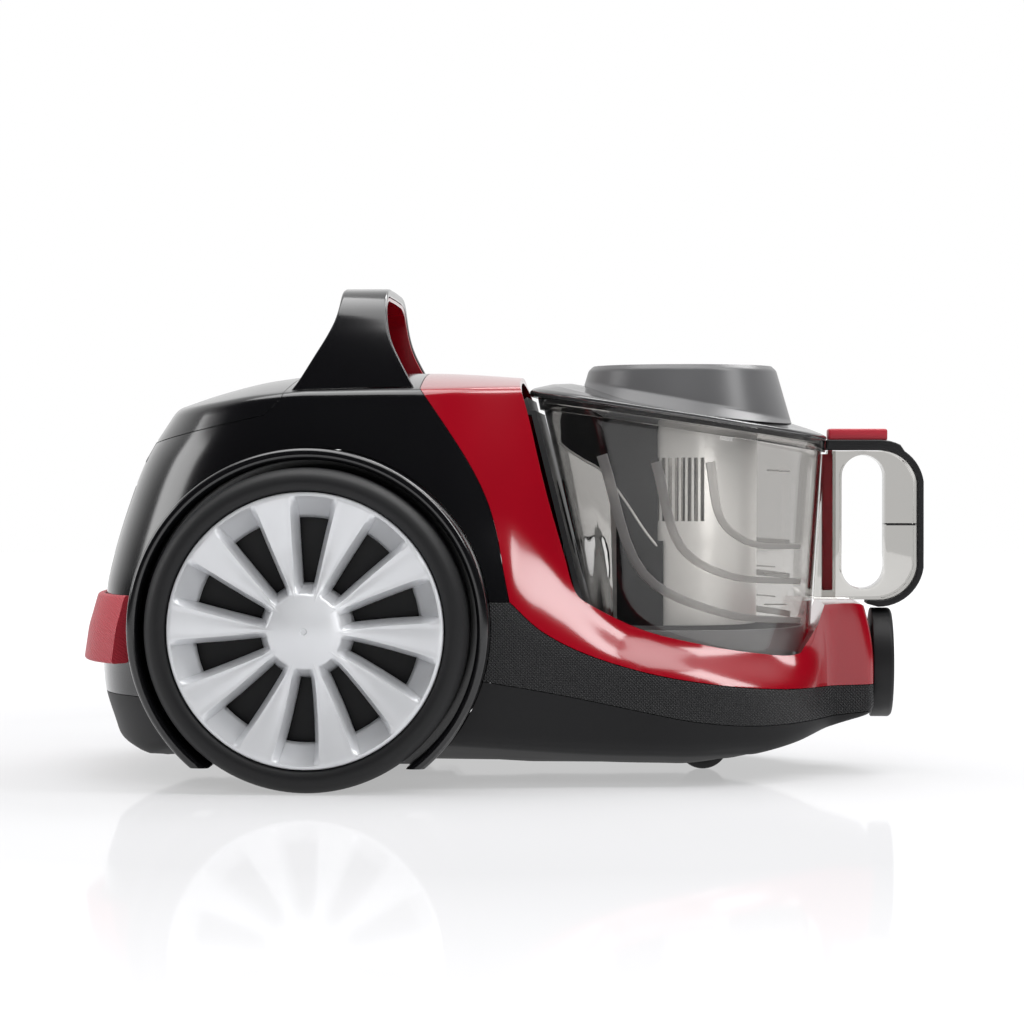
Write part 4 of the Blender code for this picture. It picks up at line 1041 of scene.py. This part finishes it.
def bin_radius(bearing, z, grow):
    """The bin is round, with a flat rear that leans back."""
    radius = BIN_BOTTOM_R + BIN_TAPER * (z - BIN_BOTTOM_Z) + grow
    if cos(bearing) >= -0.05:
        return radius
    flat = (BIN_X - rear_plane_x(z) + grow) / -cos(bearing)
    return (radius**-14.0 + flat**-14.0) ** (-1 / 14.0)


def level_ring(x, reach, z=None, above_lid=None):
    """Points round x, each reach(bearing, height) away, level at z or following the lid."""
    ring = []
    for i in range(BIN_STEPS):
        bearing = 2 * pi * i / BIN_STEPS
        height = z if z is not None else 0.205
        for _ in range(4):
            away = reach(bearing, height)
            at = x + away * cos(bearing)
            if above_lid is not None:
                height = lid_height(at, above_lid)
        ring.append(Vector((at, away * sin(bearing), height)))
    return ring


def bin_ring(grow, scale=1.0, **level):
    return level_ring(BIN_X, lambda bearing, z: bin_radius(bearing, z, grow) * scale, **level)


def round_ring(x, radius, **level):
    return level_ring(x, lambda bearing, z: radius, **level)


def cap_radius(z):
    return CAP_TOP_R + 0.009 * (CAP_TOP_Z - z) / 0.031


def cap_ring(grow, **level):
    return level_ring(CAP_X, lambda bearing, z: cap_radius(z) + grow, **level)


def sagged(ring, drop, flare=0.0):
    """A ring that falls, and widens, towards the two sides of the bin."""
    made = []
    for point in ring:
        away = Vector((point.x - CAP_X, point.y, 0.0)).normalized()
        share = abs(away.y) ** 1.6
        made.append(point + away * flare * share - Vector((0, 0, drop * share)))
    return made


def stretched(ring):
    """A ring drawn back at its rear, towards the edge of the casing."""
    return [point - Vector((0.004 * float(1 - ease(point.x, 0.02, 0.048)), 0, 0)) for point in ring]


def rounded_rings(rings, reach, keep=()):
    """A closed loop of rings with its corners rounded, point by point."""
    columns = [filleted([ring[i] for ring in rings], reach, 3, True, keep) for i in range(len(rings[0]))]
    return [[column[k] for column in columns] for k in range(len(columns[0]))]


def stepped(low, high):
    """Rings spaced evenly from one ring up to another."""
    return [[a.lerp(b, k / 16) for a, b in zip(low, high)] for k in range(17)]


def ringed(name, rings, reach, *owner, keep=(), loop=True):
    """A piece lofted through rings, with its edges rounded."""
    return done(smooth(loft(name, rounded_rings(rings, reach, keep), loop=loop)), *owner)


def hoop_rings(outer, inner, low, high):
    """The rings of a hoop round the bin between two heights against the lid's plane."""
    return [
        bin_ring(outer, above_lid=low), bin_ring(outer, above_lid=high),
        bin_ring(inner, above_lid=high), bin_ring(inner, above_lid=low),
    ]


def container():
    outside = stepped(bin_ring(0, z=BIN_BOTTOM_Z), bin_ring(0, above_lid=-0.0045))
    inside = stepped(bin_ring(-BIN_WALL, above_lid=-0.0045), bin_ring(-BIN_WALL, z=BIN_BOTTOM_Z))
    between = [*range(1, len(outside) - 1), *range(len(outside) + 1, 2 * len(outside) - 1)]
    wall = loft("bin_wall", rounded_rings(outside + inside, 0.0008, between), loop=True)
    wall = cut(wall, [inlet_hole()])
    done(smooth(wall, 30), "bin", "smoke", "bin_container").visible_shadow = False
    outer = -BIN_WALL - 3 * GAP
    inner = outer - 0.002
    ringed("bin_floor_tray", [
        bin_ring(outer, z=BIN_BOTTOM_Z), bin_ring(outer, z=TRAY_RIM_Z), bin_ring(inner, z=TRAY_RIM_Z),
        bin_ring(inner, z=BIN_BOTTOM_Z + 0.003),
    ], 0.0006, "bin", "tray_grey", "bin_floor", keep=(0, 3), loop=False)


def lid():
    seal = hoop_rings(-0.0001, -BIN_WALL, -0.0041, -0.0014)
    ringed("lid_seal_ring", seal, 0.0006, "lid", "rubber", "lid_seal")
    shell = ringed("lid_shell", [
        stretched(bin_ring(0.0024, above_lid=-0.0012)),
        stretched(bin_ring(0.0024, above_lid=0.0015)),
        stretched(sagged(bin_ring(0, above_lid=0.004), 0.0014)),
        sagged(bin_ring(0, above_lid=0.008, scale=0.9), 0.0046),
        sagged(round_ring(CAP_X, 0.064, above_lid=0.0105), 0.006),
        round_ring(CAP_X, 0.048, above_lid=0.0105),
        round_ring(CAP_X, 0.048, above_lid=0.008),
        sagged(round_ring(CAP_X, 0.064, above_lid=0.008), 0.0055),
        sagged(bin_ring(0, above_lid=0.005, scale=0.88), 0.0042),
        bin_ring(-0.004, above_lid=-0.0009),
        bin_ring(0.0006, above_lid=-0.0009),
        bin_ring(0.0006, above_lid=-0.0012),
    ], 0.0012, "lid", "lid_smoke", "bin_lid")
    shell.visible_shadow = False
    skirt = ringed("lid_skirt", hoop_rings(0.0022, 0.0006, -0.0085, -0.0014), 0.0005, "lid", "smoke")
    skirt.visible_shadow = False
    foot = 0.0105 + GAP
    ringed("filter_cap_shell", [
        cap_ring(-0.005, z=CAP_TOP_Z - 0.003),
        cap_ring(-0.003, above_lid=foot + 0.0014),
        sagged(cap_ring(-0.003, above_lid=foot), 0.006, 0.007),
        sagged(cap_ring(0, above_lid=foot), 0.0062, 0.008),
        sagged(cap_ring(0, above_lid=foot + 0.0006), 0.006, 0.0076),
        cap_ring(0, above_lid=foot + 0.0018),
        cap_ring(0, z=0.23),
        cap_ring(-0.002, z=CAP_TOP_Z),
    ], 0.0012, "lid", "cap_grey", "filter_cap", keep=(0, 7), loop=False)


GRILLE_TURNS = (-95, 85)
GRILLE_SLOTS = 9
GRILLE_STEP = 4.9             # degrees between slots
FUNNEL = [                    # radius, height
    (0.012, 0.105), (0.03, 0.17), (0.03, 0.188), (0.0275, 0.188), (0.0275, 0.17), (0.0095, 0.105),
]


def cyclone():
    rings = [
        round_ring(CAP_X, SHROUD_R, z=SHROUD_BOTTOM_Z), round_ring(CAP_X, SHROUD_R, above_lid=0.0056),
        round_ring(CAP_X, 0.0405, above_lid=0.0056), round_ring(CAP_X, 0.0405, z=SHROUD_BOTTOM_Z),
    ]
    shroud = loft("shroud_tube", rounded_rings(rings, 0.0006), loop=True)
    grilles = []
    for turn in GRILLE_TURNS:
        for i in range(GRILLE_SLOTS):
            bearing = radians(turn + (i - GRILLE_SLOTS // 2) * GRILLE_STEP)
            spin = Matrix.Translation((CAP_X, 0, 0)) @ Matrix.Rotation(bearing, 4, "Z")
            grilles.append(box("slot", (0.038, -0.0011, 0.144), (0.046, 0.0011, 0.18), 0.0, spin))
    done(smooth(cut(shroud, grilles), 30), "lid", "shroud", "cyclone_shroud")
    rings = [round_ring(CAP_X, radius, z=z) for radius, z in FUNNEL]
    ringed("cyclone_funnel", rings, 0.0006, "lid", "smoke", "cyclone_cone")


INLET_EDGE = [                # lower edge of the inlet guide: bearing, radius from the cyclone's axis, height
    (180, 0.0717, 0.1882), (197, 0.061, 0.18), (215, 0.0538, 0.1701), (230, 0.0494, 0.1545),
    (245, 0.0475, 0.1369), (252, 0.047, 0.13),
]
FOOT_EDGE = [(222, 0.0512), (240, 0.048), (256, 0.0468)]
FOOT_Z = 0.085
GUIDE_WALL = 0.001


def guide_point(bearing, radius, z):
    """A point, and the way out from the cyclone's axis, at a bearing in degrees."""
    out = Vector((cos(radians(bearing)), sin(radians(bearing)), 0))
    return Vector((CAP_X, 0, z)) + out * radius, out


def guide_ring(foot, top_z, out):
    top = Vector((foot.x, foot.y, top_z))
    return [foot, top, top - out * GUIDE_WALL, foot - out * GUIDE_WALL]


def inlet_guide():
    """Dark curved guide inside the bin that leads the air round the cyclone tube."""
    edge_radius, edge_z = pchip(INLET_EDGE, 1), pchip(INLET_EDGE, 2)
    rings, rim = [], []
    for bearing in np.linspace(180, 252, 48):
        foot, out = guide_point(bearing, edge_radius(bearing), edge_z(bearing))
        rings.append(guide_ring(foot, lid_height(foot.x, -0.0062), out))
        rim.append(foot + out * 0.0004)
    done(smooth(loft("inlet_guide", rings)), "bin", "satin_black")
    foot_radius = pchip(FOOT_EDGE)
    rings = []
    for bearing in np.linspace(222, 256, 24):
        foot, out = guide_point(bearing, foot_radius(bearing), FOOT_Z)
        rings.append(guide_ring(foot, edge_z(bearing) + 0.003, out))
    done(smooth(loft("inlet_guide_foot", rings)), "bin", "satin_black")
    done(smooth(tube("inlet_guide_rim", rim, 0.0007, 12)), "bin", "shroud")


RIB_DEPTH = 0.0007
STRIP_SECTION = [(-1.0, -0.2), (-0.8, 1.0), (0.0, 1.15), (0.8, 1.0), (1.0, -0.2)]


def wall_strip(name, line, widths, side):
    """A raised strip on the bin's side wall along an (x, z) line, tapering between two widths."""
    points = [Vector(p) for p in spline(line, 6)]
    rings = []
    for i, point in enumerate(points):
        share = i / (len(points) - 1)
        half = (widths[0] + (widths[1] - widths[0]) * share) / 2
        ahead = (points[min(i + 1, len(points) - 1)] - points[max(i - 1, 0)]).normalized()
        across = Vector((-ahead.y, ahead.x))
        ring = []
        for offset, out in STRIP_SECTION:
            at = point + across * half * offset
            radius = BIN_BOTTOM_R + BIN_TAPER * (at.y - BIN_BOTTOM_Z) + RIB_DEPTH * out
            y = sqrt(max(1e-6, radius**2 - (at.x - BIN_X) ** 2))
            ring.append((at.x, side * y, at.y))
        rings.append(ring)
    return loft(name, rings)


RIBS = [                      # centre line in (x, z), width at its two ends
    ([(0.05946787, 0.18138054), (0.0828177, 0.11539546), (0.12446559, 0.09420039), (0.17161703, 0.08758297)],
     (0.0062, 0.0034)),
    ([(0.0894435, 0.17749456), (0.10328896, 0.13045514), (0.12722903, 0.11531775), (0.17143784, 0.10990388)],
     (0.0058, 0.0031)),
    ([(0.11931469, 0.17749387), (0.12605672, 0.14478463), (0.14243226, 0.13236507), (0.17128951, 0.12985439)],
     (0.0054, 0.0028)),
    ([(0.14993339, 0.11541716), (0.16283972, 0.11494871)], (0.0008, 0.0008)),
    ([(0.14999064, 0.09801732), (0.16292762, 0.09740016)], (0.0008, 0.0008)),
    ([(0.15785843, 0.17244172), (0.16434854, 0.17241722)], (0.001, 0.001)),
]


def bin_ribs():
    for i, (line, widths) in enumerate(RIBS):
        for side, word in ((-1, "right"), (1, "left")):
            strip = wall_strip(f"bin_rib_{i}_{word}", line, widths, side)
            done(smooth(strip, 60), "bin", "frosted")


LOOP_TOP_Z = 0.1838
LOOP_BOTTOM_Z = 0.0985
LOOP_OUTER_X = 0.239
LOOP_INNER_X = 0.1885
UPPER_CORNER = (0.2182, 0.1628)
LOWER_CORNER = (0.2173, 0.1205)
UNDER_LID_Z = 0.182
STRIP_END_X = 0.188
STRIP_RISE = 0.0022           # the strip is this much thicker on top of the loop
FINGER_R = 0.0125
FINGER_ENDS = [(0.2088, 0.169), (0.2088, 0.117)]


def arc(centre, radius, start, stop, steps):
    points = []
    for i in range(steps + 1):
        bearing = radians(start + (stop - start) * i / steps)
        points.append((centre[0] + radius * cos(bearing), centre[1] + radius * sin(bearing)))
    return points


def handle_outline(grow):
    """The outer edge of the handle's loop, from its top end down to the foot."""
    top, bottom, right = LOOP_TOP_Z + grow, LOOP_BOTTOM_Z - grow, LOOP_OUTER_X + grow
    high = arc(UPPER_CORNER, top - UPPER_CORNER[1], 90, 8, 12)
    low = arc(LOWER_CORNER, LOWER_CORNER[1] - bottom, -8, -90, 12)
    return [(LOOP_INNER_X, top), *high, (right, 0.1417), *low]


def handle_loop():
    def wall_x(z):
        return BIN_X + BIN_BOTTOM_R + BIN_TAPER * (z - BIN_BOTTOM_Z) + GAP

    outline = [
        (wall_x(UNDER_LID_Z), UNDER_LID_Z), (LOOP_INNER_X, UNDER_LID_Z), *handle_outline(0.0),
        (wall_x(LOOP_BOTTOM_Z), LOOP_BOTTOM_Z),
    ]
    finger = arc(FINGER_ENDS[0], FINGER_R, 180, 0, 24) + arc(FINGER_ENDS[1], FINGER_R, 0, -180, 24)
    body = prism("bin_handle_loop", outline, HANDLE_HALF_DEPTH, holes=[finger], edge=0.0012)
    body = cut(body, [box("rod_slot", (0.1852, -0.0055, 0.0995), (0.1932, 0.0055, 0.22))])
    done(smooth(body, 30), "bin", "handle_smoke", "bin_handle")


def handle_strip():
    outer = [(x, z + (STRIP_RISE if z > LOOP_TOP_Z else 0.0)) for x, z in handle_outline(0.0042)]
    line = [
        (STRIP_END_X, LOOP_TOP_Z + GAP), *handle_outline(GAP)[1:], (0.211, LOOP_BOTTOM_Z - GAP),
        (0.211, 0.096), *reversed(outer[1:]), (STRIP_END_X, 0.1902),
    ]
    strip = prism("handle_strip_grip", line, HANDLE_HALF_DEPTH, edge=0.0009)
    strip = cut(strip, [
        box("button_pocket", (0.17, -0.0096, 0.1858), (0.2232, 0.0096, 0.23)),
        box("rod_pass", (0.17, -0.0055, 0.18), (0.1932, 0.0055, 0.23)),
    ])
    done(smooth(strip, 30), "bin", "rubber", "handle_strip")
    for side, word in ((-1, "right"), (1, "left")):
        low_y, high_y = sorted((side * 0.0127, side * 0.0132))
        seam = box(f"handle_seam_{word}", (0.2218, low_y, 0.1411), (0.2384, high_y, 0.1419), 0.0002)
        done(smooth(seam), "bin", "rubber")


def release():
    """The red button on the handle and the rod it pushes."""
    button = box("release_pad", (0.1888, -0.009, 0.1896), (0.2227, 0.009, 0.1966), 0.0014)
    done(smooth(button), "release", "button_red", "release_button")
    rod = box("release_push_rod", (0.1858, -0.004, 0.1035), (0.1916, 0.004, UNDER_LID_Z), 0.0006)
    rod = cut(rod, [box("tongue", (0.1892, -0.0036, 0.178), (0.1914, 0.0036, 0.1892))], "UNION")
    done(soften(rod, 0.0003), "release", "button_red", "release_rod")


# ---------------------------------------------------------------- hose port and cradle
PORT_MOUTH_X = 0.2252
PORT_BORE_R = 0.027
PORT_RIM_R = 0.0314
SPIGOT_R = (0.0195, 0.0217)   # the sleeve behind the collar, inside and outside
SPIGOT_END_X = 0.2


def hose_port():
    face = FRONT_X + GAP
    profile = filleted([
        (PORT_BORE_R, PORT_MOUTH_X), (0.03, PORT_MOUTH_X), (PORT_RIM_R, PORT_MOUTH_X - 0.0015),
        (PORT_RIM_R, face), (SPIGOT_R[1], face), (SPIGOT_R[1], SPIGOT_END_X), (SPIGOT_R[0], SPIGOT_END_X),
        (SPIGOT_R[0], face + 0.003), (PORT_BORE_R, face + 0.003),
    ], 0.0007, 3)
    collar = smooth(lathe("hose_collar", profile, along_x(0, 0, PORT_Z), 128))
    done(collar, "chassis", "satin_black", "hose_port")


def cradle():
    behind_lid = [(rear_plane_x(z) - 0.0042, z) for z in (0.2135, 0.2062)]
    behind_bin = [(rear_plane_x(z) - 0.001, z) for z in (0.2058, CRADLE_FLOOR_Z)]
    line = [*behind_lid, *behind_bin, (0.16, CRADLE_FLOOR_Z)]
    line = line + [(x - 0.0026, z - 0.0022) for x, z in reversed(line)]
    wall = prism("cradle_wall", filleted(line, 0.003, 5, True, (0, 1, 2, 4, 5, 7, 8, 9)), 0.14)
    wall = cut(wall, [casing_solid("cradle_room", WALL + 4 * GAP, 0.003, 0.005, 40)], "INTERSECT")
    wall = cut(wall, [disc("outlet_hole", 0.022, 0.08, along_x(-0.02, -0.015, 0.145)), inlet_hole()])
    done(soften(wall, 0.0004), "chassis", "satin_black", "bin_cradle")


# ---------------------------------------------------------------- nodes kept from the part
KEPT = {
    "satin_black": ["inlet_duct", "cord_reel", "reel_bracket_left", "reel_bracket_right"],
    "steel": ["wheel_axle_left", "wheel_axle_right", "motor_housing", "motor_rotor", "reel_axle"],
    "fan_metal": ["fan_impeller"],
    "rubber": ["motor_front_mount", "motor_rear_mount"],
    "filter_white": ["premotor_filter", "exhaust_filter", "vortex_filter"],
    "board_green": ["control_board"],
}


def keep_internals():
    for slot, names in KEPT.items():
        for name in names:
            node = frame["nodes"][name]
            node.data.materials.clear()
            node.data.materials.append(MATERIALS[slot])
            bevelled(node, 0.0004, 2, 40)


# ---------------------------------------------------------------- stage
def softbox(name, where, aim, size, power):
    light = bpy.data.lights.new(name, "AREA")
    light.shape = "RECTANGLE"
    light.size, light.size_y = size
    light.energy = power
    obj = linked(name, light)
    obj.location = where
    obj.rotation_euler = (Vector(aim) - Vector(where)).to_track_quat("-Z", "Y").to_euler()
    return obj


WHITE = (1, 1, 1, 1)


def world():
    """White for the camera. Everything else is lit from behind and above, softly."""
    made = bpy.data.worlds.new("studio")
    bpy.context.scene.world = made
    made.use_nodes = True
    made.node_tree.nodes.clear()
    n = Nodes(made.node_tree, "Generated")
    split = n.add("ShaderNodeSeparateXYZ", {0: n.place})
    behind = n.math("MULTIPLY", split.outputs["Y"], 0.8)
    above = n.math("MULTIPLY", split.outputs["Z"], 0.6)
    glow = n.add("ShaderNodeMapRange", {
        "Value": n.math("ADD", behind, above), "From Min": 0.25, "From Max": 0.75,
        "To Min": 0.02, "To Max": 1.05,
    }, interpolation_type="SMOOTHSTEP")
    surround = n.add("ShaderNodeBackground", {"Strength": glow.outputs["Result"]})
    white = n.add("ShaderNodeBackground", {"Color": WHITE, "Strength": 1.0})
    seen = n.add("ShaderNodeLightPath").outputs["Is Camera Ray"]
    mix = n.add("ShaderNodeMixShader", {0: seen, 1: surround.outputs[0], 2: white.outputs[0]})
    n.add("ShaderNodeOutputWorld", {"Surface": mix.outputs[0]})


FLOOR_GLOW = (0.5, 1.0)      # the floor's own light near the machine and far off, for a white sweep
FLOOR_REACH = (0.45, 1.3)     # the distances from the origin between which it changes
FLOOR_TONES = [(0.31, 0.31, 0.32, 1), (0.33, 0.33, 0.34, 1)]
FLOOR_SHEEN = 0.15


def floor():
    n = MaterialNodes("floor_white")
    n.tree.nodes.remove(n.shader)
    tone = n.mixed(n.noise(3.0), *FLOOR_TONES)
    split = n.add("ShaderNodeSeparateXYZ", {0: n.place})
    squares = [n.math("POWER", split.outputs[i], 2.0) for i in (0, 1)]
    run = n.math("SQRT", n.math("ADD", *squares), 0.0)
    far = n.add("ShaderNodeMapRange", {
        "Value": run, "From Min": FLOOR_REACH[0], "From Max": FLOOR_REACH[1],
        "To Min": FLOOR_GLOW[0], "To Max": FLOOR_GLOW[1],
    })
    glow = n.add("ShaderNodeEmission", {"Color": WHITE, "Strength": far.outputs["Result"]})
    matt = n.add("ShaderNodeBsdfDiffuse", {"Color": tone})
    lit = n.add("ShaderNodeAddShader", {0: matt.outputs[0], 1: glow.outputs[0]})
    sheen = n.add("ShaderNodeBsdfAnisotropic", {"Color": WHITE, "Roughness": 0.05})
    mix = n.add("ShaderNodeMixShader", {0: FLOOR_SHEEN, 1: lit.outputs[0], 2: sheen.outputs[0]})
    out = [node for node in n.tree.nodes if node.type == "OUTPUT_MATERIAL"][0]
    n.tree.links.new(mix.outputs[0], out.inputs["Surface"])
    bm = bmesh.new()
    bmesh.ops.create_grid(bm, x_segments=1, y_segments=1, size=4.0)
    obj = from_bmesh("studio_floor", bm)
    obj.location.z = -0.0002
    obj.data.materials.append(n.material)


SOFTBOXES = [                 # name, place, aim, size, watts
    ("top_box", (-0.08, -0.1, 1.5), (0.0, 0.0, 0.1), (1.5, 1.0), 15),
    ("back_box", (0.65, 0.75, 1.4), (0.05, -0.1, 0.08), (0.9, 0.6), 12),
    ("left_box", (-1.7, -0.1, 0.75), (0, 0, 0.12), (0.7, 0.9), 8),
    ("right_box", (1.19, -0.42, 1.34), (0, -0.1, 0.1), (0.45, 1.0), 11),
    ("strip_box", (1.25, -1.45, 0.55), (0.1, -0.05, 0.12), (0.35, 1.0), 6),
    ("front_fill", (0.0, -2.0, 1.2), (0, 0, 0.1), (1.6, 0.9), 18),
]
STRIP_LIGHTS = ["shroud_tube", "bin_wall", "hubcap_face_right", "hubcap_face_left"]
CAMERA_PLACE = (0.0806, -1.75, 0.1786)
CAMERA_AIM = (0.0064, 0.0, 0.1484)
CAMERA_LENS = 106.07


def lights():
    boxes = {row[0]: softbox(*row) for row in SOFTBOXES}
    lit = bpy.data.collections.new("strip_lit")
    for name in STRIP_LIGHTS:
        lit.objects.link(bpy.data.objects[name])
    boxes["strip_box"].light_linking.receiver_collection = lit
    boxes["front_fill"].visible_glossy = False


def camera():
    data = bpy.data.cameras.new("front_camera")
    data.lens = CAMERA_LENS
    data.sensor_width = 36.0
    data.clip_end = 30.0
    obj = linked("front_camera", data)
    obj.location = CAMERA_PLACE
    obj.rotation_euler = (Vector(CAMERA_AIM) - obj.location).to_track_quat("-Z", "Y").to_euler()
    scene = bpy.context.scene
    scene.camera = obj
    scene.view_settings.view_transform = "Standard"
    scene.view_settings.look = "None"


casing()
bumper()
small_rear_parts()
carry_handle()
for side, word in ((1, "left"), (-1, "right")):
    wheel(side, word)
    hubcap(side, word)
caster()
container()
lid()
cyclone()
inlet_guide()
bin_ribs()
handle_loop()
handle_strip()
release()
hose_port()
cradle()
keep_internals()
world()
floor()
lights()
camera()
